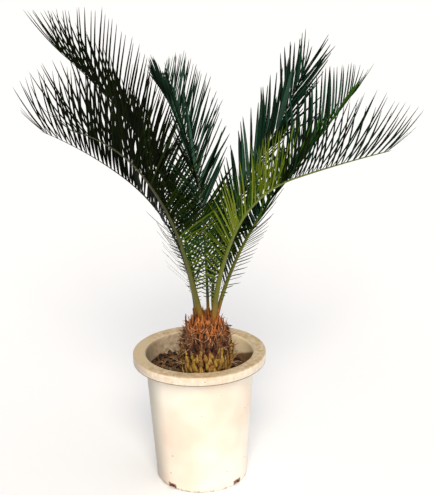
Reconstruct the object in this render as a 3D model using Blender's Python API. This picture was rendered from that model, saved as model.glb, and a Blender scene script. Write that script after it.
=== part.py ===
# A young sago palm in a plastic pot: the pot, the soil in it, a short scaly trunk
# and seven feather fronds that arch out of its crown.
# Metres, +Z up. The origin is the middle of the pot's underside, and -Y is the front.

import math
from typing import NamedTuple

import bmesh
import bpy
from mathutils import Vector, noise
from mathutils.bvhtree import BVHTree

CLEARANCE = 0.0003

POT_HEIGHT = 0.310
POT_WALL = 0.003
POT_FLOOR = 0.004
POT_FOOT_RADIUS = 0.106
POT_FOOT_ROUND = 0.004
POT_SHOULDER_RADIUS = 0.1245
POT_SEGMENTS = 48
RIM_OUTER_RADIUS = 0.1525
RIM_INNER_RADIUS = 0.125
RIM_DROP = 0.021
RIM_ROUND = 0.002
RIM_FLARE = 0.009
RIM_FLARE_DROP = 0.010
RIM_INNER_ROUND = 0.008

DRAIN_COUNT = 4
DRAIN_FIRST_AZIMUTH = 50.0
DRAIN_WIDTH = 0.015
DRAIN_HEIGHT = 0.009
DRAIN_DEPTH = 0.016

SOIL_LEVEL = 0.259
SOIL_TILT = 0.009
SOIL_LUMP = 0.005
SOIL_LUMP_SIZE = 0.028
SOIL_RINGS = 6
SEAT_RADIUS = 0.060

TRUNK_X = 0.016
TRUNK_SEGMENTS = 30
TRUNK_TOP = 0.383
# The trunk's radius at shares of its height, from the soil line to its top.
TRUNK_OUTLINE = ((0.048, 0.0), (0.051, 0.15), (0.052, 0.33), (0.050, 0.52), (0.045, 0.72),
                 (0.039, 0.88), (0.030, 1.0))

SCALE_COUNT = 66
SCALE_WIDTH = 0.017
SCALE_HEIGHT = 0.015
SCALE_REACH = 0.008
SCALE_ROOT = 0.006
SCALE_LIFT = 0.006
SCALE_TIP = (0.45, 0.30)
SCALE_SHRINK = 0.25
SCALE_TOP_GAP = 0.012
GOLDEN_ANGLE = math.pi * (3 - math.sqrt(5))

BRACT_COUNT = 19
BRACT_RING = 0.033
BRACT_ROOT_DEPTH = 0.025
BRACT_WIDTH = 0.008
BRACT_THICKNESS = 0.0035
BRACT_LENGTHS = (0.043, 0.026)
BRACT_LEANS = (6.0, 34.0)
SPIKE_TIP = (0.3, 0.5)

# Stubs of old leaf stalks at the crown: azimuth, root radius, root height, lean, length.
STUBS = ((186, 0.042, 0.360, 17, 0.045), (-8, 0.034, 0.370, 80, 0.026))
STUB_WIDTH = 0.010
STUB_THICKNESS = 0.006

PETIOLE_LENGTH = 0.085
RIB_STEP = 0.002
RIB_TAPER = (1.0, 0.70, 0.50, 0.36, 0.24, 0.15)
RIB_DEPTH = 0.85
RIB_LEAST = 0.0026
ROLL_RISE = 2.5

LEAFLET_PITCH = 0.0125
LEAFLET_CROWDING = 0.25
LEAFLET_ROOT = 0.0044
LEAFLET_THICKNESS = 0.0021
LEAFLET_MID = 0.48
LEAFLET_UPTURN = 0.10
LEAFLET_LOUVRE = 28.0
LEAFLET_MARGIN = 0.0012
NEIGHBOURS = 3
END_LEAFLET = 0.045

# Each of these runs from the lowest leaflet of a frond to its last one.
LEAFLET_LENGTHS = (0.062, 0.110, 0.134, 0.152, 0.156, 0.108)
LEAFLET_WIDTHS = (0.0042, 0.0060, 0.0070, 0.0074, 0.0066, 0.0040)
LEAFLET_ANGLES = (66.0, 68.0, 56.0, 50.0, 44.0, 30.0)
LEAFLET_RAISES = (-6.0, 20.0, 54.0, 60.0, 58.0, 50.0)

# Where the plant's light comes from: its leaflets turn their faces that way.
LIGHT_SIDE = Vector((-0.1, -0.85, 0.5)).normalized()

# Tries for a leaflet that would touch another frond: turned a little, then cut shorter.
TURNS = [(a, b) for a in (0, 8, -8, 16, -16, 24, -24) for b in (0, 7, -7)]
TRIMS = (1.0, 0.84, 0.68, 0.52, 0.38, 0.26)


class Row(NamedTuple):
    """Figures of one leaflet row, from its lowest leaflet to its last one."""
    angle_shifts: tuple  # added to the leaflets' angle from the rib
    raise_shifts: tuple  # added to their rise over the plane of the frond
    lengths: tuple  # as shares of the common lengths
    widths: tuple  # as shares of the common widths
    light_turns: tuple  # how far the blades have turned to the light


class Frond(NamedTuple):
    azimuth: float
    foot_radius: float
    stalk_width: float
    length: float
    leans: tuple  # from upright, at the foot, a third, two thirds and the tip
    roll: float  # how far the leaflet rows tilt to the frond's right
    left: Row  # left and right as seen from the trunk
    right: Row


FRONDS = {
    "frond_back_left": Frond(
        105, 0.013, 0.0080, 0.685, (0.5, 11.3, 66.4, 78), 0,
        Row((-2, -2, -10, -12), (-4, -16, 4, 8), (1.1, 1.22, 0.98, 0.92, 0.82), (0.7, 1.0),
            (0, 0.9, 0.9)),
        Row((-2, -4, -2, 0), (-4, -16, 0, 0), (1.1, 1.22, 0.98, 0.92, 0.82), (0.7, 1.3, 1.0),
            (0, 0.9, 0.9)),
    ),
    "frond_left_high": Frond(
        148, 0.026, 0.0095, 0.714, (-1.5, 20.5, 44.5, 56), 8,
        Row((0, -3), (0, -13, -13), (0.95, 1.06, 1.10, 1.0), (0.9, 0.9, 0.6), (0.2, 0.4)),
        Row((0, -3), (0, 0), (0.95, 1.06, 1.10, 1.0), (0.9, 0.8, 0.65), (0, 0)),
    ),
    "frond_left_front": Frond(
        218, 0.020, 0.0140, 0.600, (4, 20, 38, 70), 0,
        Row((2, 4, 6), (0, 0), (0.95, 1.0, 1.15, 1.1), (0.9, 1.1, 0.8), (0.2, 0.2)),
        Row((2, 4, 12), (0, 0), (0.95, 1.0, 1.15, 1.1), (1.0, 1.1, 0.8), (0, 0)),
    ),
    "frond_left_low": Frond(
        178, 0.022, 0.0092, 0.575, (1, 22.5, 51.5, 66), 0,
        Row((-4, 8, 12, 14), (0, 0), (0.95, 1.05, 1.15, 1.2), (0.6, 1.1, 0.7), (0, 0)),
        Row((-4, 8, 12, 14), (0, 0), (0.95, 1.05, 1.15, 1.2), (0.6, 1.0, 0.7), (0, 0)),
    ),
    "frond_back_right": Frond(
        42, 0.014, 0.0090, 0.616, (-2.5, 30.5, 44, 31), 0,
        Row((-4, -24, -20, -14), (0, 0), (1.0, 1.05, 1.0), (0.9, 1.1), (0.3, 0.9, 0.9)),
        Row((0, 14, 14), (0, -30, -30), (1.0, 1.05, 1.0), (0.9, 1.2), (0.2, 0.9, 0.9)),
    ),
    "frond_right_high": Frond(
        14, 0.024, 0.0120, 0.588, (16, 29, 41, 40), 25,
        Row((0, -3), (0, 0), (1.0, 0.85, 0.78, 0.62), (0.9, 0.9, 0.8), (0, 0)),
        Row((0, -17, -19, -19), (0, -6), (1.0, 0.85, 0.80, 0.80), (0.6, 1.1, 1.2), (0, 0.8, 1, 1)),
    ),
    "frond_right_low": Frond(
        -38, 0.018, 0.0150, 0.675, (8, 26, 66.9, 70.3), 0,
        Row((2, 2, 6), (0, 0), (1.0, 1.0, 1.04, 0.92), (0.9, 1.1, 0.6, 0.5), (0, 0)),
        Row((0, -22, -14, 6, 6), (0, 0), (1.0, 1.0, 1.04, 0.92), (0.9, 1.0, 0.6, 0.5),
            (0.4, 0.4, 0)),
    ),
}

MATERIALS = {
    "pot_plastic": ("#E9DCC3", 0.45),
    "potting_soil": ("#3A2417", 0.95),
    "caudex_fibre": ("#6B4526", 0.90),
    "frond_leaf": ("#3F5427", 0.45),
}


def linear(hex_colour):
    """The linear RGBA value of a written sRGB colour."""
    parts = [int(hex_colour[i:i + 2], 16) / 255 for i in (1, 3, 5)]
    return [p / 12.92 if p < 0.04045 else ((p + 0.055) / 1.055) ** 2.4 for p in parts] + [1.0]


def make_material(name):
    colour, roughness = MATERIALS[name]
    material = bpy.data.materials.new(name)
    material.use_nodes = True
    shader = material.node_tree.nodes["Principled BSDF"]
    shader.inputs["Base Color"].default_value = linear(colour)
    shader.inputs["Roughness"].default_value = roughness
    shader.inputs["Metallic"].default_value = 0.0
    material.diffuse_color = linear(colour)
    return material


def make_object(name, mesh_builder, material):
    """Turns a bmesh into an object with its faces outward and its triangles fixed."""
    bmesh.ops.recalc_face_normals(mesh_builder, faces=mesh_builder.faces)
    mesh = bpy.data.meshes.new(name)
    mesh_builder.to_mesh(mesh)
    mesh_builder.free()
    mesh.materials.append(material)
    part = bpy.data.objects.new(name, mesh)
    bpy.context.scene.collection.objects.link(part)
    return part


def smooth_under(part, degrees):
    part.data.shade_smooth()
    part.data.set_sharp_from_angle(angle=math.radians(degrees))


def hide_tool(part):
    part.hide_render = True
    part.display_type = "WIRE"


def along(values, t):
    """Straight-line reading of evenly spaced values, t from 0 to 1."""
    place = min(max(t, 0.0), 1.0) * (len(values) - 1)
    first = min(int(place), len(values) - 2)
    return values[first] + (values[first + 1] - values[first]) * (place - first)


def fillet(corner, start, end, steps=3):
    """Points of a quarter-like bend from start to end, pulled toward the corner."""
    points = []
    for i in range(steps + 1):
        t = i / steps
        points.append(tuple(
            (1 - t) ** 2 * s + 2 * t * (1 - t) * c + t ** 2 * e
            for s, c, e in zip(start, corner, end)
        ))
    return points


def revolve(profile, segments, centre=(0.0, 0.0)):
    """A closed solid turned from (radius, height) points that start and end on the axis."""
    builder = bmesh.new()
    rings = []
    for radius, height in profile:
        if radius == 0:
            rings.append([builder.verts.new((*centre, height))])
            continue
        ring = []
        for i in range(segments):
            turn = 2 * math.pi * i / segments
            ring.append(builder.verts.new((
                centre[0] + radius * math.cos(turn),
                centre[1] + radius * math.sin(turn),
                height,
            )))
        rings.append(ring)
    for lower, upper in zip(rings, rings[1:]):
        for i in range(segments):
            j = (i + 1) % segments
            if len(lower) == 1:
                builder.faces.new((lower[0], upper[j], upper[i]))
            elif len(upper) == 1:
                builder.faces.new((lower[i], lower[j], upper[0]))
            else:
                builder.faces.new((lower[i], lower[j], upper[j], upper[i]))
    return builder


def pot_inner_radius(height):
    """The inside of the pot's straight tapering wall."""
    slope = (POT_SHOULDER_RADIUS - POT_FOOT_RADIUS) / (POT_HEIGHT - RIM_DROP)
    return POT_FOOT_RADIUS - POT_WALL + slope * height


def build_pot(material):
    """Tapering wall, wide flat rim with a drop lip, and drain notches round the foot."""
    lip_inside = RIM_OUTER_RADIUS - POT_WALL
    under_rim = POT_HEIGHT - POT_WALL
    shoulder = pot_inner_radius(under_rim) + POT_WALL
    inner_top = POT_HEIGHT - RIM_INNER_ROUND
    profile = [(0.0, 0.0)]
    profile += fillet(
        (POT_FOOT_RADIUS, 0.0),
        (POT_FOOT_RADIUS - POT_FOOT_ROUND, 0.0),
        (POT_FOOT_RADIUS, POT_FOOT_ROUND),
    )
    profile += fillet(
        (shoulder, under_rim),
        (pot_inner_radius(under_rim - RIM_FLARE_DROP) + POT_WALL, under_rim - RIM_FLARE_DROP),
        (shoulder + RIM_FLARE, under_rim),
        2,
    )
    profile += [
        (lip_inside, under_rim),
        (lip_inside, POT_HEIGHT - RIM_DROP),
        (RIM_OUTER_RADIUS, POT_HEIGHT - RIM_DROP),
    ]
    profile += fillet(
        (RIM_OUTER_RADIUS, POT_HEIGHT),
        (RIM_OUTER_RADIUS, POT_HEIGHT - RIM_ROUND),
        (RIM_OUTER_RADIUS - RIM_ROUND, POT_HEIGHT),
        2,
    )
    profile += fillet(
        (pot_inner_radius(inner_top), POT_HEIGHT),
        (RIM_INNER_RADIUS, POT_HEIGHT),
        (pot_inner_radius(inner_top), inner_top),
        2,
    )
    profile += [(pot_inner_radius(POT_FLOOR), POT_FLOOR), (0.0, POT_FLOOR)]
    pot = make_object("pot", revolve(profile, POT_SEGMENTS), material)

    cutters = bmesh.new()
    for i in range(DRAIN_COUNT):
        turn = math.radians(DRAIN_FIRST_AZIMUTH) + 2 * math.pi * i / DRAIN_COUNT
        outward = Vector((math.cos(turn), math.sin(turn), 0))
        sideways = Vector((-outward.y, outward.x, 0)) * DRAIN_WIDTH / 2
        near = outward * (POT_FOOT_RADIUS - DRAIN_DEPTH)
        far = outward * (POT_FOOT_RADIUS + DRAIN_DEPTH)
        corners = []
        for height in (-DRAIN_HEIGHT, DRAIN_HEIGHT):
            for foot, sign in ((near, -1), (far, -1), (far, 1), (near, 1)):
                corners.append(cutters.verts.new(foot + sign * sideways + Vector((0, 0, height))))
        lower, upper = corners[:4], corners[4:]
        cutters.faces.new(lower[::-1])
        cutters.faces.new(upper)
        for a in range(4):
            b = (a + 1) % 4
            cutters.faces.new((lower[a], lower[b], upper[b], upper[a]))
    notches = make_object("drain_notches", cutters, material)
    hide_tool(notches)
    cut = pot.modifiers.new("drain notches", "BOOLEAN")
    cut.operation = "DIFFERENCE"
    cut.solver = "EXACT"
    cut.object = notches
    smooth_under(pot, 35)


def soil_height(x, y):
    """The lumpy top of the soil, heaped to the left and low at the right."""
    bump = noise.noise(Vector((x, y, 0)) / SOIL_LUMP_SIZE)
    return SOIL_LEVEL - SOIL_TILT * x / POT_SHOULDER_RADIUS + SOIL_LUMP * bump


def build_soil(material):
    """Fills the pot to the soil line, with a flat seat for the trunk."""
    builder = bmesh.new()
    rings = []
    for k in range(SOIL_RINGS + 1):
        share = k / SOIL_RINGS
        ring = []
        for i in range(POT_SEGMENTS):
            turn = 2 * math.pi * i / POT_SEGMENTS
            outward = Vector((math.cos(turn), math.sin(turn), 0))
            seat = Vector((TRUNK_X, 0, 0)) + SEAT_RADIUS * outward
            wall = outward * (pot_inner_radius(SOIL_LEVEL) - CLEARANCE)
            point = seat.lerp(wall, share)
            point.z = SOIL_LEVEL
            if k > 0:
                point.z = soil_height(point.x, point.y)
            if k == SOIL_RINGS:
                radius = pot_inner_radius(point.z) - CLEARANCE
                point.x, point.y = outward.x * radius, outward.y * radius
            ring.append(builder.verts.new(point))
        rings.append(ring)
    floor = POT_FLOOR + CLEARANCE
    bottom = []
    for i in range(POT_SEGMENTS):
        turn = 2 * math.pi * i / POT_SEGMENTS
        radius = pot_inner_radius(floor) - CLEARANCE
        bottom.append(builder.verts.new((radius * math.cos(turn), radius * math.sin(turn), floor)))
    rings.append(bottom)
    builder.faces.new(rings[0])
    builder.faces.new(bottom[::-1])
    for inner, outer in zip(rings, rings[1:]):
        for i in range(POT_SEGMENTS):
            j = (i + 1) % POT_SEGMENTS
            builder.faces.new((inner[i], inner[j], outer[j], outer[i]))
    smooth_under(make_object("soil", builder, material), 50)


def trunk_profile():
    """Half outline of the trunk's core, from its flat cut in the soil to its flat top."""
    foot = SOIL_LEVEL + CLEARANCE
    rise = TRUNK_TOP - foot
    outline = [(radius, foot + share * rise) for radius, share in TRUNK_OUTLINE]
    return [(0.0, foot)] + outline + [(0.0, TRUNK_TOP)]


def trunk_radius(height):
    outline = trunk_profile()[1:-1]
    for (r0, z0), (r1, z1) in zip(outline, outline[1:]):
        if height <= z1:
            return r0 + (r1 - r0) * (height - z0) / (z1 - z0)
    return outline[-1][0]


def add_wedge(builder, root, tip, side, depth, root_size, tip_size):
    """A closed four-sided wedge between two centres, each end (across side, along depth)."""
    ends = []
    for centre, (wide, deep) in ((root, root_size), (tip, tip_size)):
        ends.append([
            builder.verts.new(centre + side * wide / 2 * a + depth * deep / 2 * b)
            for a, b in ((-1, -1), (1, -1), (1, 1), (-1, 1))
        ])
    near, far = ends
    faces = [builder.faces.new(near[::-1]), builder.faces.new(far)]
    for a in range(4):
        b = (a + 1) % 4
        faces.append(builder.faces.new((near[a], near[b], far[b], far[a])))
    bmesh.ops.recalc_face_normals(builder, faces=faces)


def build_trunk(material):
    """The core with a golden-angle spiral of old leaf bases and a ring of crown bracts."""
    core = make_object("caudex", revolve(trunk_profile(), TRUNK_SEGMENTS, (TRUNK_X, 0.0)), material)
    scales = bpy.data.collections.new("leaf_bases")
    bpy.context.scene.collection.children.link(scales)
    axis = Vector((TRUNK_X, 0, 0))
    foot = SOIL_LEVEL + CLEARANCE
    lowest = foot + SCALE_HEIGHT / 2 + 0.001
    highest = TRUNK_TOP - SCALE_TOP_GAP

    def add_tool(name, root, tip, side, depth, root_size, tip_size):
        builder = bmesh.new()
        add_wedge(builder, root, tip, side, depth, root_size, tip_size)
        tool = make_object(name, builder, material)
        scales.objects.link(tool)
        bpy.context.scene.collection.objects.unlink(tool)
        hide_tool(tool)

    def add_spike(name, azimuth, radius, height, lean, length, size):
        turn, lean = math.radians(azimuth), math.radians(lean)
        outward = Vector((math.cos(turn), math.sin(turn), 0))
        side = Vector((-outward.y, outward.x, 0))
        direction = outward * math.sin(lean) + Vector((0, 0, math.cos(lean)))
        root = axis + outward * radius + Vector((0, 0, height))
        tip_size = (size[0] * SPIKE_TIP[0], size[1] * SPIKE_TIP[1])
        add_tool(
            name,
            root - direction * SCALE_ROOT,
            root + direction * length,
            side,
            side.cross(direction),
            size,
            tip_size,
        )

    for i in range(SCALE_COUNT):
        share = i / (SCALE_COUNT - 1)
        height = lowest + (highest - lowest) * share
        turn = i * GOLDEN_ANGLE
        outward = Vector((math.cos(turn), math.sin(turn), 0))
        side = Vector((-outward.y, outward.x, 0))
        up = Vector((0, 0, 1))
        surface = axis + outward * trunk_radius(height) + up * height
        size = 1.0 - SCALE_SHRINK * share
        add_tool(
            f"leaf_base_{i:02d}",
            surface - outward * SCALE_ROOT,
            surface + outward * SCALE_REACH * size + up * SCALE_LIFT * (0.3 + share),
            side,
            up,
            (SCALE_WIDTH * size, SCALE_HEIGHT * size),
            (SCALE_WIDTH * size * SCALE_TIP[0], SCALE_HEIGHT * size * SCALE_TIP[1]),
        )
    for i in range(BRACT_COUNT):
        spread = (i * 7 % BRACT_COUNT) / (BRACT_COUNT - 1)
        add_spike(
            f"bract_{i:02d}",
            math.degrees(i * GOLDEN_ANGLE),
            BRACT_RING,
            TRUNK_TOP - BRACT_ROOT_DEPTH,
            along(BRACT_LEANS, spread),
            along(BRACT_LENGTHS, spread),
            (BRACT_WIDTH, BRACT_THICKNESS),
        )
    for i, (azimuth, radius, height, lean, length) in enumerate(STUBS):
        size = (STUB_WIDTH, STUB_THICKNESS)
        add_spike(f"stub_{i}", azimuth, radius, height, lean, length, size)
    join = core.modifiers.new("leaf bases and bracts", "BOOLEAN")
    join.operation = "UNION"
    join.solver = "EXACT"
    join.operand_type = "COLLECTION"
    join.collection = scales
    smooth_under(core, 25)


def leaflet_place(number, pairs):
    """How far along the leafy part of a rib a leaflet pair grows: closer set near the stalk."""
    share = number / pairs
    return share * (1 - LEAFLET_CROWDING * (1 - share))


def rib_stations(frond):
    """Places along a frond's rib, each with its tangent, its upper side and its right side."""
    turn = math.radians(frond.azimuth)
    outward = Vector((math.cos(turn), math.sin(turn), 0))
    right = Vector((outward.y, -outward.x, 0))
    place = Vector((TRUNK_X, 0, TRUNK_TOP + CLEARANCE)) + outward * frond.foot_radius

    leafy = frond.length - PETIOLE_LENGTH
    pairs = round(leafy / LEAFLET_PITCH)
    marks = [0.0, 0.5 * PETIOLE_LENGTH]
    for i in range(pairs):
        middle = PETIOLE_LENGTH + leafy * leaflet_place(i, pairs)
        marks += [middle - LEAFLET_ROOT / 2, middle + LEAFLET_ROOT / 2]
    marks.append(frond.length)

    def lean_at(distance):
        lean = math.radians(along(frond.leans, distance / frond.length))
        return math.sin(lean), math.cos(lean)

    stations = []
    travelled = 0.0
    for mark in marks:
        while travelled < mark - 1e-9:
            step = min(RIB_STEP, mark - travelled)
            sine, cosine = lean_at(travelled + step / 2)
            place = place + (outward * sine + Vector((0, 0, cosine))) * step
            travelled += step
        sine, cosine = lean_at(travelled)
        tangent = outward * sine + Vector((0, 0, cosine))
        level_upper = Vector((0, 0, sine)) - outward * cosine
        roll = math.radians(frond.roll) * min(1.0, ROLL_RISE * travelled / frond.length)
        upper = level_upper * math.cos(roll) + right * math.sin(roll)
        side = right * math.cos(roll) - level_upper * math.sin(roll)
        stations.append((mark, place.copy(), tangent, upper, side))
    return stations, pairs


def rib_size(distance, frond):
    """Width and depth of the rib: stout at the foot, then a long taper."""
    width = frond.stalk_width * along(RIB_TAPER, distance / frond.length)
    return max(width, RIB_LEAST), max(width * RIB_DEPTH, RIB_LEAST)


def light_angle(direction, across, through):
    """How far a blade turns about its own length for its nearer face to meet the light."""
    angle = math.atan2(LIGHT_SIDE.dot(across), LIGHT_SIDE.dot(through))
    if abs(angle) > math.pi / 2:
        angle -= math.copysign(math.pi, angle)
    return angle


def leaflet_shape(row, root, tangent, upper, side, share, turns, trim):
    """Middle section and tip of one leaflet: a narrow blade raised off the rib's side."""
    angle = math.radians(along(LEAFLET_ANGLES, share) + along(row.angle_shifts, share) + turns[1])
    raised = math.radians(along(LEAFLET_RAISES, share) + along(row.raise_shifts, share) + turns[0])
    out = side * math.cos(raised) + upper * math.sin(raised)
    direction = tangent * math.cos(angle) + out * math.sin(angle)
    length = along(LEAFLET_LENGTHS, share) * along(row.lengths, share) * trim
    across = (tangent - direction * tangent.dot(direction)).normalized()
    through = direction.cross(across)
    if through.dot(upper) < 0:
        through = -through
    twist = math.radians(LEAFLET_LOUVRE)
    twist += along(row.light_turns, share) * light_angle(direction, across, through)
    edge = across * math.cos(twist) - through * math.sin(twist)
    face = through * math.cos(twist) + across * math.sin(twist)
    width = along(LEAFLET_WIDTHS, share) * along(row.widths, share)
    middle = root + direction * length * LEAFLET_MID
    corners = [
        middle + edge * width / 2 * a + face * LEAFLET_THICKNESS / 2 * b
        for a, b in ((-1, -1), (1, -1), (1, 1), (-1, 1))
    ]
    tip = root + direction * length + Vector((0, 0, length * LEAFLET_UPTURN))
    return corners, tip


def matched_corners(root_corners, corners):
    """The middle section's corners, begun at the one that twists the blade the least."""
    def stretch(first):
        turned = corners[first:] + corners[:first]
        return sum((a - b).length for a, b in zip(root_corners, turned))
    first = min(range(4), key=stretch)
    return corners[first:] + corners[:first]


def blade_faces(points):
    """Faces of a blade from four root corners, four middle corners and a tip.

    The sides between root and middle are skew, so each is split to stand out from the blade.
    """
    centre = sum(points[:8], Vector()) / 8
    faces = []
    for i in range(4):
        j = (i + 1) % 4
        a, b, c, d = i, j, j + 4, i + 4
        normal = (points[b] - points[a]).cross(points[c] - points[a])
        if normal.dot(points[a] - centre) < 0:
            normal = -normal
        if normal.dot(points[d] - points[a]) <= 0:
            faces += [(a, b, c), (a, c, d)]
        else:
            faces += [(a, b, d), (b, c, d)]
        faces.append((d, c, 8))
    return faces


def leaflet_tree(root_corners, corners, tip, margin):
    """A search tree of one leaflet grown by the margin, for the test against its neighbours."""
    grown = []
    for ring in (root_corners, corners):
        centre = sum(ring, Vector()) / 4
        grown += [corner + (corner - centre).normalized() * margin for corner in ring]
    centre = sum(corners, Vector()) / 4
    grown.append(tip + (tip - centre).normalized() * margin)
    return BVHTree.FromPolygons(grown, blade_faces(grown))


def rib_rings(stations, frond, swell=0.0):
    """Four corners of the rib at each station, and the point of its end leaflet."""
    rings = []
    for mark, place, _, upper, side in stations:
        width, depth = rib_size(mark, frond)
        ring = []
        for a, b in ((-1, -1), (1, -1), (1, 1), (-1, 1)):
            corner = place + side * (width / 2 + swell) * a + upper * (depth / 2 + swell) * b
            if mark == 0.0:
                corner.z = TRUNK_TOP + CLEARANCE
            ring.append(corner)
        rings.append(ring)
    _, place, tangent, _, _ = stations[-1]
    return rings, place + tangent * (END_LEAFLET + swell)


def rib_tree(frond):
    """A search tree of a frond's bare rib, grown by the margin."""
    stations, _ = rib_stations(frond)
    rings, end = rib_rings(stations, frond, LEAFLET_MARGIN)
    points = [corner for ring in rings for corner in ring] + [end]
    faces = []
    for k in range(len(rings) - 1):
        for a in range(4):
            b = (a + 1) % 4
            faces.append((4 * k + a, 4 * k + b, 4 * k + 4 + b, 4 * k + 4 + a))
    last = len(points) - 5
    faces += [(last + a, last + (a + 1) % 4, len(points) - 1) for a in range(4)]
    return BVHTree.FromPolygons(points, faces)


def clear_leaflet(row, quad, station, sign, share, others):
    """The first try at a leaflet that touches none of the others, or None."""
    _, _, tangent, upper, side = station
    root_corners = [vert.co for vert in quad]
    root = sum(root_corners, Vector()) / 4
    for trim in TRIMS:
        for turns in TURNS:
            corners, tip = leaflet_shape(
                row, root, tangent, upper, sign * side, share, turns, trim
            )
            corners = matched_corners(root_corners, corners)
            tree = leaflet_tree(root_corners, corners, tip, LEAFLET_MARGIN)
            if not any(tree.overlap(other) for other in others):
                return corners, tip
    return None


def build_frond(name, frond, others, material):
    """One frond: a four-sided rib with two rows of blades drawn out of its sides."""
    stations, pairs = rib_stations(frond)
    ring_points, end = rib_rings(stations, frond)
    builder = bmesh.new()
    rings = [[builder.verts.new(corner) for corner in ring] for ring in ring_points]
    builder.faces.new(rings[0][::-1])
    previous = {1: [], -1: []}
    for k, (near, far) in enumerate(zip(rings, rings[1:])):
        has_leaflets = k >= 2 and k % 2 == 0
        for a in range(4):
            b = (a + 1) % 4
            made = None
            if has_leaflets and a in (1, 3):
                share = leaflet_place((k - 2) // 2, pairs)
                if a == 1:
                    quad, sign, row = (near[1], far[1], far[2], near[2]), 1, frond.right
                else:
                    quad, sign, row = (near[0], far[0], far[3], near[3]), -1, frond.left
                taken = others + previous[sign] + previous[-sign]
                made = clear_leaflet(row, quad, stations[k], sign, share, taken)
            if not made:
                builder.faces.new((near[a], near[b], far[b], far[a]))
                continue
            tree = leaflet_tree([vert.co for vert in quad], *made, 0.0)
            previous[sign] = (previous[sign] + [tree])[-NEIGHBOURS:]
            blade = [*quad] + [builder.verts.new(point) for point in (*made[0], made[1])]
            for face in blade_faces([vert.co for vert in blade]):
                builder.faces.new([blade[i] for i in face])
    end_vert = builder.verts.new(end)
    for a in range(4):
        builder.faces.new((rings[-1][a], rings[-1][(a + 1) % 4], end_vert))
    bmesh.ops.recalc_face_normals(builder, faces=builder.faces)
    tree = BVHTree.FromBMesh(builder)
    make_object(name, builder, material)
    return tree


def build():
    for obj in list(bpy.data.objects):
        bpy.data.objects.remove(obj)
    materials = {name: make_material(name) for name in MATERIALS}
    build_pot(materials["pot_plastic"])
    build_soil(materials["potting_soil"])
    build_trunk(materials["caudex_fibre"])
    ribs = {name: rib_tree(frond) for name, frond in FRONDS.items()}
    finished = []
    for name, frond in FRONDS.items():
        others = finished + [tree for other, tree in ribs.items() if other != name]
        finished.append(build_frond(name, frond, others, materials["frond_leaf"]))


build()
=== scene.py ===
# A young sago palm in an ivory plastic pot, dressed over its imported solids.
# Metres, +Z up, the front towards -Y, and the origin under the middle of the pot.
import math
import random

import bpy
from mathutils import Matrix, Vector, noise
from mathutils.bvhtree import BVHTree


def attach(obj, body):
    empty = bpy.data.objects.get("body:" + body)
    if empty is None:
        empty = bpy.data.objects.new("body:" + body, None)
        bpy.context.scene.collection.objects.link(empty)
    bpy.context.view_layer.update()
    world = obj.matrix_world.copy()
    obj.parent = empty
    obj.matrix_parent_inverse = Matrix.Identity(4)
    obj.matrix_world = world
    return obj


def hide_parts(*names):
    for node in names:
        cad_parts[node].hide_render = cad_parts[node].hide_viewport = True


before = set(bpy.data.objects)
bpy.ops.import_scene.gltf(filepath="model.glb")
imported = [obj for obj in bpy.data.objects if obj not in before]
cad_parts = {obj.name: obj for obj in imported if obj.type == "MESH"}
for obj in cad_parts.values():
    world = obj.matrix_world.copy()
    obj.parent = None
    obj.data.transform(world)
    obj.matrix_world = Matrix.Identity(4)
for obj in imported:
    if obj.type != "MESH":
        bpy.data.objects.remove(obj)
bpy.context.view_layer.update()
scene = bpy.context.scene
up = Vector((0, 0, 1))
fullTurn = 2 * math.pi
goldenAngle = math.pi * (3 - math.sqrt(5))
print("frame loaded,", len(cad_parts), "solids")


def fromHex(code):  # written sRGB to linear
    parts = [int(code[i:i + 2], 16) / 255 for i in (1, 3, 5)]
    return [p / 12.92 if p < 0.04045 else ((p + 0.055) / 1.055) ** 2.4 for p in parts] + [1]


def connect(tree, node, links):  # from sockets, or from the first output in use of a node
    for key, source in links.items():
        if isinstance(source, bpy.types.Node):
            source = next(socket for socket in source.outputs if socket.enabled)
        tree.links.new(source, node.inputs[key])


def addNode(tree, kind, settings=None, links=None):
    node = tree.nodes.new("ShaderNode" + kind)
    for key, value in (settings or {}).items():
        if key == "stops":  # a colour ramp's places and hex colours
            while len(node.color_ramp.elements) < len(value):
                node.color_ramp.elements.new(0.5)
            for element, (place, code) in zip(node.color_ramp.elements, value):
                element.position, element.color = place, fromHex(code)
        elif isinstance(key, int) or key in node.inputs:
            node.inputs[key].default_value = value
        else:
            setattr(node, key, value)
    connect(tree, node, links or {})
    return node


def newMaterial(name, code, roughness, ior=1.5):
    material = bpy.data.materials.new(name)
    material.use_nodes = True
    tree = material.node_tree
    shader = tree.nodes["Principled BSDF"]
    shader.inputs["Base Color"].default_value = fromHex(code)
    shader.inputs["Roughness"].default_value = roughness
    shader.inputs["IOR"].default_value = ior
    material.diffuse_color = fromHex(code)
    place = addNode(tree, "TexCoord").outputs["Object"]
    return material, tree, shader, place


def addObject(name, data):
    thing = bpy.data.objects.new(name, data)
    scene.collection.objects.link(thing)
    return thing


def newShape():
    return {"points": [], "faces": [], "shades": []}


def addFace(shape, corners, shade, turned=False):
    shape["faces"].append(tuple(corners)[::-1] if turned else tuple(corners))
    shape["shades"].append(shade)


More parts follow.
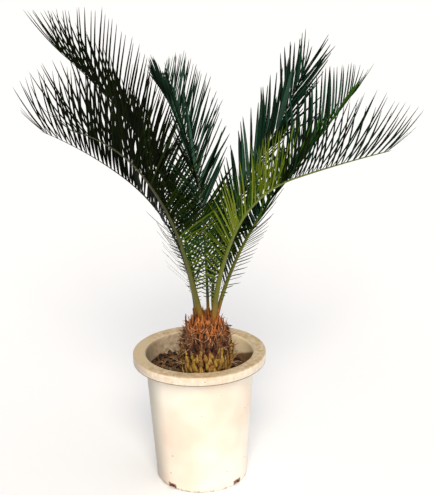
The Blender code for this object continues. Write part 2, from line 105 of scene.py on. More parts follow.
# Sweeps a section through stations of (centre, across, through, half width, thickness).
# It closes the root with one face, and the other end with a point or one face.
def sweep(shape, stations, section, shade, tip=None):
    first, count = len(shape["points"]), len(section)
    centre, across, through = stations[0][:3]
    turned = across.cross(through).dot(stations[1][0] - centre) < 0
    for centre, across, through, halfWidth, thickness in stations:
        for a, b in section:
            shape["points"].append(centre + across * (a * halfWidth) + through * (b * thickness))
    shadeAt = shade if callable(shade) else lambda station, side: shade
    addFace(shape, [first + i for i in reversed(range(count))], shadeAt(0, 0), turned)
    for k in range(len(stations) - 1):
        for i in range(count):
            near, far, j = first + k * count, first + (k + 1) * count, (i + 1) % count
            addFace(shape, (near + i, near + j, far + j, far + i), shadeAt(k, i), turned)
    last = first + (len(stations) - 1) * count
    if tip is None:
        addFace(shape, [last + i for i in range(count)], shadeAt(len(stations) - 1, 0), turned)
        return
    shape["points"].append(tip)
    for i in range(count):
        corners = (last + i, last + (i + 1) % count, last + count)
        addFace(shape, corners, shadeAt(len(stations) - 1, i), turned)


# Turns a profile of (radius, height) that starts and ends on the axis.
def revolve(shape, profile, segments, centreX, ripple=None):
    rings = []
    for radius, height in profile:
        ring = []
        for i in range(segments if radius else 1):
            turn = fullTurn * i / segments
            point = Vector((radius * math.cos(turn), radius * math.sin(turn), height))
            if ripple and radius:
                point = ripple(point)
            ring.append(len(shape["points"]))
            shape["points"].append(point + Vector((centreX, 0, 0)))
        rings.append(ring)
    for lower, upper in zip(rings, rings[1:]):
        for i in range(segments):
            j = (i + 1) % segments
            corners = (lower[i % len(lower)], lower[j % len(lower)],
                       upper[j % len(upper)], upper[i % len(upper)])
            addFace(shape, dict.fromkeys(corners), 0)  # a triangle at a point on the axis


def newMesh(name, shape):
    mesh = bpy.data.meshes.new(name)
    mesh.from_pydata(shape["points"], [], shape["faces"])
    return mesh


def smooth(mesh, sharpAngle):
    mesh.shade_smooth()
    mesh.set_sharp_from_angle(angle=math.radians(sharpAngle))


def treeOf(shape):  # for finding what a shape would touch
    return BVHTree.FromPolygons(shape["points"], shape["faces"])


def makePiece(name, shape, materials, nodes=(), sharpAngle=60):
    mesh = newMesh(name, shape)
    for material in materials:
        mesh.materials.append(material)
    mesh.polygons.foreach_set("material_index", shape["shades"])
    mesh.update()
    smooth(mesh, sharpAngle)
    piece = addObject(name, mesh)
    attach(piece, "root")
    if nodes:
        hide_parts(*nodes)
    print(f"  {name}: {len(mesh.polygons)} faces")
    return piece


def bend(corner, enter, leave, steps):  # a rounded corner of a profile, from and to two offsets
    (x, z), points = corner, []
    for i in range(steps + 1):
        t = i / steps
        points.append(tuple(
            (1 - t) ** 2 * s + 2 * t * (1 - t) * c + t ** 2 * e
            for s, c, e in ((x + enter[0], x, x + leave[0]), (z + enter[1], z, z + leave[1]))))
    return points


def stray(rng, most):
    return rng.uniform(-most, most)


def along(values, share):  # straight-line reading of evenly spaced values
    place = min(max(share, 0), 1) * (len(values) - 1)
    first = min(int(place), len(values) - 2)
    return values[first] + (values[first + 1] - values[first]) * (place - first)


def outwardAt(turn):
    return Vector((math.cos(turn), math.sin(turn), 0))


def spokeAt(turn):  # the level directions outward and sideways
    outward = outwardAt(turn)
    return outward, Vector((-outward.y, outward.x, 0))


def leaned(outward, lean):  # straight up, then leaned outward
    return outward * math.sin(lean) + up * math.cos(lean)


# camera, light and floor

studio = {
    "cameraPlace": (0.0459, -2.3, 1.304), "pitch": 18, "roll": -1.064, "lens": 78.96,
    "horizon": 0.26, "zenith": 1, "leftShare": 0.35, "leftEdges": (-0.9, 0.3),
    "keyAzimuth": -88, "keyHeight": 38, "keySoftness": 30, "keyStrength": 2.6,
    "keyColour": "#FFF4E2", "floor": "#F8FAFF", "floorRadius": 40, "floorCorners": 64,
}

camera = addObject("camera", bpy.data.cameras.new("camera"))
camera.data.lens = studio["lens"]
camera.data.sensor_width = 36
camera.location = studio["cameraPlace"]
camera.rotation_mode = "QUATERNION"
camera.rotation_quaternion = (
    Matrix.Rotation(math.radians(90 - studio["pitch"]), 3, "X")
    @ Matrix.Rotation(math.radians(studio["roll"]), 3, "Z")).to_quaternion()
scene.camera = camera
scene.view_settings.view_transform = "Standard"

world = bpy.data.worlds.new("studio")
scene.world = world
world.use_nodes = True
skyTree = world.node_tree
background = skyTree.nodes["Background"]
skyPlace = addNode(skyTree, "TexCoord").outputs["Generated"]
skyAxes = addNode(skyTree, "SeparateXYZ", links={"Vector": skyPlace})
dome = addNode(skyTree, "MapRange", {
    "To Min": studio["horizon"], "To Max": studio["zenith"]}, {"Value": skyAxes.outputs["Z"]})
# the studio is open on the right, so less light comes from the left
sideways = addNode(skyTree, "MapRange", {
    "From Min": studio["leftEdges"][0], "From Max": studio["leftEdges"][1],
    "To Min": studio["leftShare"]}, {"Value": skyAxes.outputs["X"]})
domeLight = addNode(skyTree, "Math", {"operation": "MULTIPLY"}, {0: dome, 1: sideways})
connect(skyTree, background, {"Strength": domeLight})
background.inputs["Color"].default_value = fromHex("#FFFFFF")

keyData = bpy.data.lights.new("keyLight", "SUN")  # a softbox so far off that it lights evenly
keyData.energy, keyData.angle = studio["keyStrength"], math.radians(studio["keySoftness"])
keyData.color = fromHex(studio["keyColour"])[:3]
key = addObject("keyLight", keyData)
rise = math.radians(studio["keyHeight"])
towardsKey = outwardAt(math.radians(studio["keyAzimuth"])) * math.cos(rise) + up * math.sin(rise)
key.rotation_mode = "QUATERNION"
key.rotation_quaternion = (-towardsKey).to_track_quat("-Z", "Y")

floorMesh, corners = bpy.data.meshes.new("floor"), studio["floorCorners"]
floorMesh.from_pydata([outwardAt(fullTurn * i / corners) * studio["floorRadius"]
                       for i in range(corners)], [], [range(corners)])
floorPaint, _, floorShader, _ = newMaterial("paintedFloorPale", studio["floor"], 0.9)
floorShader.inputs["Specular IOR Level"].default_value = 0
floorMesh.materials.append(floorPaint)
floor = addObject("floor", floorMesh)
print("camera, light and floor")


# Loose matter such as soil, husk, wool and old leaf bases: two tones in grains of a real size,
# dull all over, with a rough relief.
def makeFibrous(name, dark, light, grain, roughness=0.9, relief=0.0006, stretch=(1, 1, 1)):
    material, tree, shader, place = newMaterial(name, dark, roughness)
    pulled = addNode(tree, "Mapping", {"Scale": stretch}, {"Vector": place})
    grains = addNode(tree, "TexNoise", {
        "Scale": 1 / grain, "Detail": 5, "Roughness": 0.65}, {"Vector": pulled})
    tones = addNode(tree, "ValToRGB", {"stops": [(0.38, dark), (0.66, light)]}, {"Fac": grains})
    bump = addNode(tree, "Bump", {"Strength": 0.8, "Distance": relief}, {"Height": grains})
    connect(tree, shader, {"Base Color": tones, "Normal": bump})
    return material


def fibrousSet(rows, *look):  # a material for each row of a name, its tones and its own figures
    return [makeFibrous(*row, *look) for row in rows]


# the pot

potSizes = {
    "height": 0.31, "wall": 0.003, "floor": 0.004, "footRadius": 0.106, "footRound": 0.004,
    "shoulderRadius": 0.1245, "shoulderRound": 0.01, "rimOuter": 0.1525, "rimInner": 0.125,
    "rimDrop": 0.021, "rimRound": 0.003, "innerRound": 0.009, "segments": 176, "sharpAngle": 40,
    "stepDrop": 0.007, "step": 0.0005,  # a faint moulded step just under the lip
    "notches": (50, 140, 230, 320), "notchWidth": 0.015, "notchHeight": 0.009, "notchDepth": 0.016,
}
potLooks = {
    "bleached": ((0.36, "#F0DCCA"), (0.52, "#F5EADA"), (0.66, "#F9F2E6")),
    # the inside wall's colours run from painted shade on the left to painted light on the right
    "dust": "#B29768", "leftRimDust": "#D0BA94", "wall": ((0, "#A48C6C"), (1, "#FFEEC4")),
    # what each mask reads, where it starts and is full, and its least and greatest value if they
    # aren't 0 and 1
    "masks": {
        "rimTop": ("height", 0.307, 0.3096), "rimDust": ("smudges", 0.3, 0.62, 0.45, 1),
        "paintedLeftShade": ("leftward", -0.62, -1, 0, 0.9), "across": ("x", -0.06, 0.08),
        "inside": ("depth", 0.1052, 0.1036), "wallSmudges": ("smudges", 0.35, 0.68, 0.55, 1),
        "rimShadowEdge": ("slant", 0.306, 0.301), "splash": ("height", 0.276, 0.262),
        "lipShadeLine": ("height", 0.2914, 0.2904), "onLip": ("radius", 0.149, 0.15),
        "foot": ("height", 0.007, 0.0005), "broken": ("smudges", 0.46, 0.6),
        "lipDust": ("smudges", 0.34, 0.66, 0.12, 0.55), "beside": ("ragged", 0.0185, 0.015),
        "above": ("raggedHeight", 0.0205, 0.0165), "speck": ("specks", 0.05, 0.034),
        "worn": ("smudges", 0, 1, 0.36, 0.58),
    },
    "smooth": ("rimTop", "paintedLeftShade"),
    # each mark, whether dirt or painted light and shade, is laid over those before it where all of its
    # masks show
    "stainsAndShading": (
        ("#B2ACA0", ("paintedLeftShade",)),  # painted shade: the outside is greyer towards the left
        ("dust", ("rimTop", "rimDust")),
        # painted shade on the inside of the left wall and painted light on the inside of the right wall,
        # in smudges
        ("wall", ("inside", "wallSmudges")),
        ("#8E7250", ("rimShadowEdge", "across", "inside")),  # a painted shadow of the rim, dark on the inside towards the front right
        ("#C4A884", ("lipDust", "onLip")),
        ("#66573E", ("lipShadeLine", "onLip")),  # painted shade: a dark line along the lip's lower edge
        ("#6A452A", ("low", "broken")),  # splashes over the soil line, and dirt on the lowest 6 mm
        ("#7A4326", ("beside", "above")),  # wet soil ran out of the notches and dried rust brown
        ("#6E6450", ("speck",)),
    ),
}


# Injection-moulded polypropylene, ivory, left in the sun for years: a satin skin, bleached
# cream with a pinkish cast in places, tan dust on the rim, soil splashes inside and at the foot,
# painted shade greying the outside towards the left and in a line under the lip, painted shade
# and light on the inside wall, and a painted shadow of the rim inside at the front right.
def makePotPlastic():
    material, tree, shader, place = newMaterial("polypropyleneMouldedIvory", "#F3E4CC", 0.42, 1.49)
    axes = addNode(tree, "SeparateXYZ", links={"Vector": place})
    x, height = axes.outputs["X"], axes.outputs["Z"]
    flat = addNode(tree, "VectorMath", {"operation": "MULTIPLY", 1: (1, 1, 0)}, {0: place})
    radius = addNode(tree, "VectorMath", {"operation": "LENGTH"}, {0: flat})
    # dust and dirt in smudges of up to 10 mm
    smudges = addNode(tree, "TexNoise", {
        "Scale": 95, "Detail": 6, "Roughness": 0.62}, {"Vector": place})
    # how far a point is from the nearest line through two notches
    aligned = addNode(tree, "Mapping", {
        "Rotation": (0, 0, math.radians(-potSizes["notches"][0]))}, {"Vector": place})
    folded = addNode(tree, "VectorMath", {"operation": "ABSOLUTE"}, {0: aligned})
    foldedAxes = addNode(tree, "SeparateXYZ", links={"Vector": folded})
    offNotch = addNode(tree, "Math", {"operation": "MINIMUM"},
                       {0: foldedAxes.outputs["X"], 1: foldedAxes.outputs["Y"]})
    sources = {
        "x": x, "height": height, "radius": radius, "smudges": smudges,
        "leftward": addNode(tree, "Math", {"operation": "DIVIDE"}, {0: x, 1: radius}),
        # the inside of the wall lies 3 mm in from the outside at every height
        "depth": addNode(tree, "Math", {"operation": "MULTIPLY_ADD", 1: -0.064},
                         {0: height, 2: radius}),
        "slant": addNode(tree, "VectorMath", {
            "operation": "DOT_PRODUCT", 1: (0, 0.48, 1)}, {0: place}),
        "ragged": addNode(tree, "Math", {"operation": "MULTIPLY_ADD", 1: 0.012},
                          {0: smudges, 2: offNotch}),
        "raggedHeight": addNode(tree, "Math", {"operation": "MULTIPLY_ADD", 1: 0.012},
                                {0: smudges, 2: height}),
        # stray specks of soil, 2 to 3 mm across, a handful on each side
        "specks": addNode(tree, "TexVoronoi", {"Scale": 30}, {"Vector": place}),
    }
    masks = {}
    for name, (source, *limits) in potLooks["masks"].items():
        masks[name] = addNode(tree, "MapRange", {
            "interpolation_type": "SMOOTHSTEP" if name in potLooks["smooth"] else "LINEAR",
            **dict(zip(("From Min", "From Max", "To Min", "To Max"), limits))},
            {"Value": sources[source]})
    splashInside = addNode(tree, "Math", {"operation": "MULTIPLY"},
                           {0: masks["splash"], 1: masks["inside"]})
    masks["low"] = addNode(tree, "Math", {"operation": "MAXIMUM"},
                           {0: splashInside, 1: masks["foot"]})
    paints = {
        # the rim's dust is paler where the outside is painted shaded, towards the left
        "dust": addNode(tree, "Mix", {
            "data_type": "RGBA", 6: fromHex(potLooks["dust"]), 7: fromHex(potLooks["leftRimDust"])},
            {0: masks["paintedLeftShade"]}),
        "wall": addNode(tree, "ValToRGB", {"stops": potLooks["wall"]},
                        {"Fac": masks["across"]}),
    }
    # uneven bleaching, in patches about 125 mm across, under all the stains
    patches = addNode(tree, "TexNoise", {"Scale": 8, "Detail": 2}, {"Vector": place})
    colour = addNode(tree, "ValToRGB", {"stops": potLooks["bleached"]}, {"Fac": patches})
    for paint, names in potLooks["stainsAndShading"]:
        mask = masks[names[0]]
        for name in names[1:]:
            mask = addNode(tree, "Math", {"operation": "MULTIPLY"}, {0: mask, 1: masks[name]})
        settings, links = {"data_type": "RGBA"}, {0: mask, 6: colour}
        if paint in paints:
            links[7] = paints[paint]
        else:
            settings[7] = fromHex(paint)
        colour = addNode(tree, "Mix", settings, links)
    # the moulded skin is not quite flat: faint swells some 17 mm across
    swell = addNode(tree, "TexNoise", {"Scale": 60, "Detail": 3}, {"Vector": place})
    bump = addNode(tree, "Bump", {"Strength": 0.35, "Distance": 0.0008}, {"Height": swell})
    connect(tree, shader, {"Base Color": colour, "Roughness": masks["worn"], "Normal": bump})
    return material


def potInner(height):  # inside radius of the tapering wall
    slope = (potSizes["shoulderRadius"] - potSizes["footRadius"])
    slope /= potSizes["height"] - potSizes["rimDrop"]
    return potSizes["footRadius"] - potSizes["wall"] + slope * height


def makePot():
    sizes = potSizes
    wall, top, outer, inner = sizes["wall"], sizes["height"], sizes["rimOuter"], sizes["rimInner"]
    footRadius, footRound, rimRound = sizes["footRadius"], sizes["footRound"], sizes["rimRound"]
    underRim, lipBottom, lipInside = top - wall, top - sizes["rimDrop"], outer - wall
    stepHeight = lipBottom - sizes["stepDrop"]
    lip, shoulder = 0.001, potInner(underRim) + wall
    profile = [(0, 0)]
    profile += bend((footRadius, 0), (-footRound, 0), (0, footRound), 5)
    profile += [(potInner(z) + wall, z) for z in (0.08, 0.16, 0.23, stepHeight - 0.001)]
    profile += [(potInner(z) + wall + sizes["step"], z) for z in (stepHeight, underRim - 0.012)]
    profile += bend((shoulder, underRim), (-0.0004, -sizes["shoulderRound"]), (0.009, 0), 4)
    profile += bend((lipInside, underRim), (-0.003, 0), (0, -0.003), 3)
    profile += bend((lipInside, lipBottom), (0, lip), (lip, 0), 2)
    profile += bend((outer, lipBottom), (-lip, 0), (0, lip), 2)
    profile += bend((outer, top), (0, -rimRound), (-rimRound, 0), 5)
    profile += [(outer - 0.008, top - 0.0003), (inner + 0.009, top - 0.0003)]
    mouth = potInner(top - sizes["innerRound"])
    profile += bend((mouth, top), (inner + 0.003 - mouth, 0), (0, -sizes["innerRound"]), 6)
    profile += [(potInner(z), z) for z in (0.26, 0.18, 0.1, sizes["floor"])] + [(0, sizes["floor"])]
    shape = newShape()
    revolve(shape, profile, sizes["segments"], 0)
    pot = makePiece("pot_body", shape, [makePotPlastic()], ["pot"], sizes["sharpAngle"])

    # arched drain notches, cut through the foot and the edge of the floor
    cutters = newShape()
    arch = [(-1, -1), (1, -1), (1, 0.35), (0.8, 0.75), (0.35, 1), (-0.35, 1), (-0.8, 0.75), (-1, 0.35)]
    for azimuth in sizes["notches"]:
        outward, side = spokeAt(math.radians(azimuth))
        ends = [footRadius - sizes["notchDepth"], footRadius + sizes["notchDepth"]]
        sweep(cutters, [(outward * r, side, up, sizes["notchWidth"] / 2, sizes["notchHeight"])
                        for r in ends], arch, 0)
    cutter = addObject("notches", newMesh("notches", cutters))
    cut = pot.modifiers.new("notches", "BOOLEAN")
    cut.operation, cut.solver, cut.object = "DIFFERENCE", "EXACT", cutter
    bpy.context.view_layer.update()
    evaluated = pot.evaluated_get(bpy.context.evaluated_depsgraph_get())
    cutMesh = bpy.data.meshes.new_from_object(evaluated)
    pot.modifiers.clear()
    pot.data = cutMesh
    smooth(cutMesh, sizes["sharpAngle"])
    bpy.data.objects.remove(cutter)


makePot()
print("pot")


# the soil

soilSizes = {
    "level": 0.259, "tilt": 0.009, "middle": 0.02, "rings": 34, "segments": 150, "gap": 0.0003,
    "reach": 0.117, "leftEdge": -0.04,
    # low lumps and finer ones on them: rise, size, and the height that the noise is read at
    "lumps": ((0.005, 0.028, 0), (0.0022, 0.009, 0.7), (0.0012, 0.004, 0.7)),
}
trunkX = 0.016


def soilTop(x, y):
    height = soilSizes["level"] - soilSizes["tilt"] * x / potSizes["shoulderRadius"]
    for rise, size, level in soilSizes["lumps"]:
        height += rise * noise.noise(Vector((x, y, level)) / size)
    return height


def makeSoil():
    sizes, shape, rings = soilSizes, newShape(), []
    segments, middle, gap = sizes["segments"], Vector((trunkX, 0, 0)), sizes["gap"]
    floorHeight = potSizes["floor"] + gap
    for k in range(sizes["rings"] + 2):
        rings.append(range(len(shape["points"]), len(shape["points"]) + segments))
        for i in range(segments):
            outward = outwardAt(fullTurn * i / segments)
            wall = outward * (potInner(sizes["level"]) - gap)
            point = (middle + outward * sizes["middle"]).lerp(wall, k / sizes["rings"])
            point.z = soilTop(point.x, point.y)
            if k == sizes["rings"]:
                point = outward * (potInner(point.z) - gap) + up * point.z
            if k > sizes["rings"]:  # down the wall to the pot's floor
                point = outward * (potInner(floorHeight) - gap) + up * floorHeight
            shape["points"].append(point)
    addFace(shape, rings[0], 0)
    addFace(shape, rings[-1], 0, True)
    for inner, outer in zip(rings, rings[1:]):
        for i in range(segments):
            j = (i + 1) % segments
            addFace(shape, (inner[i], outer[i], outer[j], inner[j]), 0)
    # peat and coir mix, dark and dull, in grains drawn at 6 mm so that they show
    peat = makeFibrous("pottingMixPeat", "#0D0703", "#2C1B0B", 0.006, 0.95, 0.0015)
    makePiece("soil_bed", shape, [peat], ["soil"], 180)


def soilSpot(rng, inner, outer, rightShare):  # a random place on the soil, clear of the trunk
    while True:
        turn, radius = rng.uniform(0, fullTurn), soilSizes["reach"] * math.sqrt(rng.random())
        x, y = radius * math.cos(turn), radius * math.sin(turn)
        fromTrunk = math.hypot(x - trunkX, y)
        share = 1 if x < soilSizes["leftEdge"] else rightShare
        if inner < fromTrunk and radius < outer and rng.random() < share:
            return Vector((x, y, soilTop(x, y)))


# twelve corners and twenty faces of a clod before it is knocked out of shape
golden = (1 + math.sqrt(5)) / 2
clodCorners = [Vector(c).normalized() for c in (
    (-1, golden, 0), (1, golden, 0), (-1, -golden, 0), (1, -golden, 0),
    (0, -1, golden), (0, 1, golden), (0, -1, -golden), (0, 1, -golden),
    (golden, 0, -1), (golden, 0, 1), (-golden, 0, -1), (-golden, 0, 1))]
clodFaces = (
    (0, 11, 5), (0, 5, 1), (0, 1, 7), (0, 7, 10), (0, 10, 11), (1, 5, 9), (5, 11, 4), (11, 10, 2),
    (10, 7, 6), (7, 1, 8), (3, 9, 4), (3, 4, 2), (3, 2, 6), (3, 6, 8), (3, 8, 9), (4, 9, 5),
    (2, 4, 11), (6, 2, 10), (8, 6, 7), (9, 8, 1))


def addClod(shape, rng, centre, size, shade):
    first = len(shape["points"])
    squash = Vector([rng.uniform(*limits) for limits in crumbSizes["squash"]])
    spin = Matrix.Rotation(rng.uniform(0, 6.28), 3, "Z") @ Matrix.Rotation(rng.uniform(0, 1), 3, "X")
    for corner in clodCorners:
        knocked = corner * squash * rng.uniform(*crumbSizes["knock"]) * size
        shape["points"].append(centre + spin @ knocked)
    for corners in clodFaces:
        addFace(shape, [first + c for c in corners], shade)


crumbSizes = {
    "count": 1500, "sizes": (0.0009, 0.0034), "fewLarge": 2.5, "band": (0.05, 0.1165),
    "squash": ((0.7, 1.2), (0.7, 1.2), (0.5, 0.9)), "knock": (0.75, 1.2), "bedded": 0.3,
    "notchClods": 16, "clodSizes": (0.0018, 0.0036), "clodSpread": 3.2, "clodInset": (0.0015, 0.007),
    "tones": (("peatCrumbDark", "#090402", "#28160A"), ("barkCrumbBrown", "#341E0E", "#57361B"),
              ("coirCrumbTan", "#4A321B", "#745330"), ("driedClodRust", "#6E3718", "#A66430")),
}


def makeCrumbs():
    sizes, rng, shape = crumbSizes, random.Random(7), newShape()
    small, large = sizes["sizes"]
    for _ in range(sizes["count"]):
        size = small + (large - small) * rng.random() ** sizes["fewLarge"]
        centre = soilSpot(rng, *sizes["band"], 1) + up * size * sizes["bedded"]
        addClod(shape, rng, centre, size, rng.choice((0, 0, 0, 0, 1, 1, 2)))
    # dried soil that has run out of each drain notch
    for n in range(sizes["notchClods"] * len(potSizes["notches"])):
        azimuth = potSizes["notches"][n % len(potSizes["notches"])]
        outward = outwardAt(math.radians(azimuth + stray(rng, sizes["clodSpread"])))
        size = rng.uniform(*sizes["clodSizes"])
        addClod(shape, rng, outward * (potSizes["footRadius"] - rng.uniform(*sizes["clodInset"]))
                + up * (1.3 * size + rng.uniform(0, 0.003)), size, rng.choice((0, 3, 3)))
    makePiece("soil_crumbs", shape, fibrousSet(sizes["tones"], 0.003), (), 30)


flakeSection = ((-1, 0), (0, -0.5), (1, 0), (0.9, 0.45), (0, 0.1), (-0.9, 0.45))
flakeProfile = ((0, 0.35), (0.15, 0.8), (0.4, 1), (0.65, 0.95), (0.85, 0.6), (1, 0.2))
squareSection = ((-1, -1), (1, -1), (1, 1), (-1, 1))
# dry husk and leaf scraps: thin, curled, tan to brown
flakeSizes = {
    "count": 70, "band": (0.056, 0.108), "rightShare": 0.25, "edge": 0.114,
    "length": (0.014, 0.038), "halfWidth": (0.0026, 0.0062), "thickness": 0.0012,
    "lift": (0.05, 0.55), "curl": (-0.5, 0.9), "clearance": 0.0015,
    "tones": (("dryHuskBrown", "#301C0C", "#5E3E1E"), ("dryHuskTan", "#573A1B", "#8E683A"),
              ("dryHuskDull", "#3C2E20", "#69553C")),
}
# coconut fibre, drawn 1.2 mm thick so that it shows
strandSizes = {
    "count": 70, "band": (0.054, 0.108), "rightShare": 0.35, "edge": 0.115, "steps": 7,
    "length": (0.012, 0.034), "turnRate": (-2.4, 2.4), "hop": (0.002, 0.009), "radius": 0.0006,
    "tones": (("coirStrandRust", "#6B4424", "#8E6238"), ("coirStrandPale", "#8F7552", "#B59A72")),
}


def makeLitter():
    sizes, rng, flakes = flakeSizes, random.Random(19), newShape()
    for _ in range(sizes["count"]):
        root = soilSpot(rng, *sizes["band"], sizes["rightShare"])
        heading, side = spokeAt(rng.uniform(0, fullTurn))
        length, halfWidth = rng.uniform(*sizes["length"]), rng.uniform(*sizes["halfWidth"])
        lift, curl = rng.uniform(*sizes["lift"]), rng.uniform(*sizes["curl"])
        tilt = (side + up * stray(rng, 0.6)).normalized()
        stations = []
        for t, wide in flakeProfile:
            centre = root + heading * length * (t - 0.5)
            centre.z = soilTop(centre.x, centre.y) + sizes["clearance"] + length * (
                lift * t * 0.5 + curl * 0.35 * t * (1 - t))
            if math.hypot(centre.x, centre.y) > sizes["edge"]:
                centre.xy = centre.xy.normalized() * sizes["edge"]
            through = tilt.cross(heading).normalized() * -1
            stations.append((centre, tilt, through, halfWidth * wide, sizes["thickness"]))
        sweep(flakes, stations, flakeSection, rng.choice((0, 0, 1, 1, 2)))
    makePiece("husk_litter", flakes, fibrousSet(sizes["tones"], 0.004, 0.85), (), 40)

    sizes, strands = strandSizes, newShape()
    for _ in range(sizes["count"]):
        point = soilSpot(rng, *sizes["band"], sizes["rightShare"])
        heading = outwardAt(rng.uniform(0, fullTurn))
        length, turnRate = rng.uniform(*sizes["length"]), rng.uniform(*sizes["turnRate"])
        hop, stations = rng.uniform(*sizes["hop"]), []
        for k in range(sizes["steps"] + 1):
            t = k / sizes["steps"]
            swing = Matrix.Rotation(turnRate * t, 3, "Z") @ heading
            if k:
                point = point + swing * length / sizes["steps"]
            if math.hypot(point.x, point.y) > sizes["edge"]:
                break
            lifted = point.copy()
            lifted.z = soilTop(point.x, point.y) + 0.0008 + hop * math.sin(math.pi * t)
            side = Vector((-swing.y, swing.x, 0))
            stations.append((lifted, side, up, sizes["radius"], sizes["radius"]))
        if len(stations) > 3:
            sweep(strands, stations, squareSection, rng.choice((0, 1)))
    makePiece("coir_strands", strands, fibrousSet(sizes["tones"], 0.003))


makeSoil()
makeCrumbs()
makeLitter()
print("soil and litter")


# the trunk

trunkSizes = {
    "foot": 0.2593, "top": 0.383, "waist": 0.058, "shoulder": 0.09,  # the last two over the foot
    "outline": ((0.048, 0), (0.051, 0.15), (0.052, 0.33), (0.05, 0.52), (0.045, 0.72),
                (0.039, 0.88), (0.03, 1)),
    "coreInset": 0.003, "coreRings": 24, "coreSegments": 96, "pit": 0.0025, "pitSize": 0.008,
}
trunkAxis = Vector((trunkX, 0, 0))
trunkFoot, trunkTop = trunkSizes["foot"], trunkSizes["top"]
trunkRise = trunkTop - trunkFoot


def trunkRadius(height):
    share = (height - trunkFoot) / trunkRise
    outline = trunkSizes["outline"]
    for (r0, s0), (r1, s1) in zip(outline, outline[1:]):
        if share <= s1:
            return r0 + (r1 - r0) * (max(share, 0) - s0) / (s1 - s0)
    return outline[-1][0]


def onTrunk(outward, height, out=0):
    return trunkAxis + outward * (trunkRadius(height) + out) + up * height


# The core between the leaf bases: dark, pitted and hidden for the most part.
def makeCore():
    sizes, core = trunkSizes, newShape()
    profile = [(0, trunkFoot)]
    for k in range(sizes["coreRings"] + 1):
        z = trunkFoot + trunkRise * k / sizes["coreRings"]
        profile.append((trunkRadius(z) - sizes["coreInset"], z))
    profile += [(0.02, trunkTop + 0.006), (0.009, trunkTop + 0.009), (0, trunkTop + 0.01)]

    def pit(point):
        push = sizes["pit"] * noise.noise(point / sizes["pitSize"])
        if point.z < trunkFoot + 0.0001:
            push = 0
        return point + Vector((point.x, point.y, 0)).normalized() * push
    revolve(core, profile, sizes["coreSegments"], trunkX, pit)
    pith = makeFibrous("caudexPithDark", "#180A04", "#3C2110", 0.005, 0.95, 0.001)
    makePiece("caudex_core", core, [pith], ["caudex"], 180)


shellSection = ((-0.55, -0.5), (0.55, -0.5), (1, 0), (0.66, 0.55), (0, 0.9), (-0.66, 0.55),
                (-1, 0))
# up its length, out from the trunk and across
shellProfile = ((-0.3, -0.45, 0.7), (-0.08, 0.25, 1), (0.14, 0.7, 0.92), (0.4, 0.92, 0.64),
                (0.66, 1, 0.34), (0.9, 1.12, 0.12))
hardLook = (0.7, 0.0012, (1, 1, 0.35))
# old leaf bases: the living ones low down are olive and hard, the older ones dark and frayed
baseSizes = {
    "low": {"count": 88, "halfWidth": (0.008, 0.0122), "length": (0.02, 0.034), "jut": (0.004, 0.012)},
    "mid": {"count": 70, "halfWidth": (0.005, 0.008), "length": (0.02, 0.03), "jut": (0.004, 0.012)},
    "lowest": 0.004, "overlap": 0.01, "lean": 0.3, "twist": 0.38, "thickness": 0.0042,
    "astray": 0.0005, "widthStray": (0.85, 1.12), "hookRise": 0.16, "hook": (0.05, 0.5),
    "shareStray": 1.5, "turnStray": 0.09, "midTurn": 0.4,
    "tones": (
        ("leafBaseOlive", "#8E6A22", "#D8B654", 0.004, *hardLook),
        ("leafBaseOchre", "#A67C2C", "#EAC66C", 0.004, *hardLook),
        ("leafBaseUmber", "#825A20", "#CA9C4C", 0.004, 0.75, *hardLook[1:]),
        # dark edges: painted shade for the gaps between the leaf bases
        ("leafBaseEdgeBrown", "#38190A", "#9C6A34", 0.003),
        ("leafBaseDryTip", "#633C1E", "#94663C", 0.004),
        ("leafBaseDark", "#281006", "#62381E", 0.005),
        ("leafBaseGreyTip", "#644A34", "#A08058", 0.004)),
}


# A leaf base: a pointed shell that leaves the trunk, turns up and ends in a hooked tip.
def addShell(shape, rng, turn, height, figures, shades):
    halfWidth, length = rng.uniform(*figures["halfWidth"]), rng.uniform(*figures["length"])
    jut = rng.uniform(*figures["jut"])
    outward, side = spokeAt(turn)
    lean, twist = stray(rng, baseSizes["lean"]), stray(rng, baseSizes["twist"])
    across = side * math.cos(twist) + outward * math.sin(twist)
    through = outward * math.cos(twist) - side * math.sin(twist)
    stations = []
    for rise, out, wide in shellProfile:
        centre = onTrunk(outward, height + length * rise, jut * out)
        centre += side * (lean * length * max(rise, 0) + stray(rng, baseSizes["astray"]))
        wide *= halfWidth
        stations.append((centre, across, through, wide * rng.uniform(*baseSizes["widthStray"]),
                         baseSizes["thickness"] * (1.15 - rise)))
    tip = stations[-1][0] + up * length * baseSizes["hookRise"] \
        + outward * jut * rng.uniform(*baseSizes["hook"])
    face, edge, dryTip = shades

    # all but the two top faces take the edge material, which low down is painted shade outlining each
    # leaf base
    def shade(station, i):
        if station >= 4:
            return dryTip
        return face if i in (3, 4) else edge
    sweep(shape, stations, shellSection, shade, tip)


def makeBases():
    sizes, rng, scales = baseSizes, random.Random(3), newShape()
    low, mid = sizes["low"], sizes["mid"]
    lowest = trunkFoot + sizes["lowest"]
    waist, shoulder = trunkFoot + trunkSizes["waist"], trunkFoot + trunkSizes["shoulder"]
    for i in range(low["count"]):
        share = (i + stray(rng, sizes["shareStray"])) / (low["count"] - 1)
        height = lowest + (waist - lowest) * min(max(share, 0), 1)
        face = rng.choice((0, 0, 1, 2))
        shades = (face, 3, rng.choice((face, face, 4)))
        turn = i * goldenAngle + stray(rng, sizes["turnStray"])
        addShell(scales, rng, turn, height, low, shades)
    for i in range(mid["count"]):
        share = i / (mid["count"] - 1)
        height = waist - sizes["overlap"] + (shoulder - waist + 0.006) * share
        shades = (rng.choice((4, 5, 5)), 5, rng.choice((4, 6, 6)))
        addShell(scales, rng, i * goldenAngle + sizes["midTurn"], height, mid, shades)
    makePiece("leaf_bases", scales, fibrousSet(sizes["tones"]), (), 50)


sheathSection = ((0, -0.45), (1, -0.1), (0.5, 0.4), (0, 0.55), (-0.5, 0.4), (-1, -0.1))
sheathWidths = (0.75, 1, 0.95, 0.75, 0.5, 0.25)


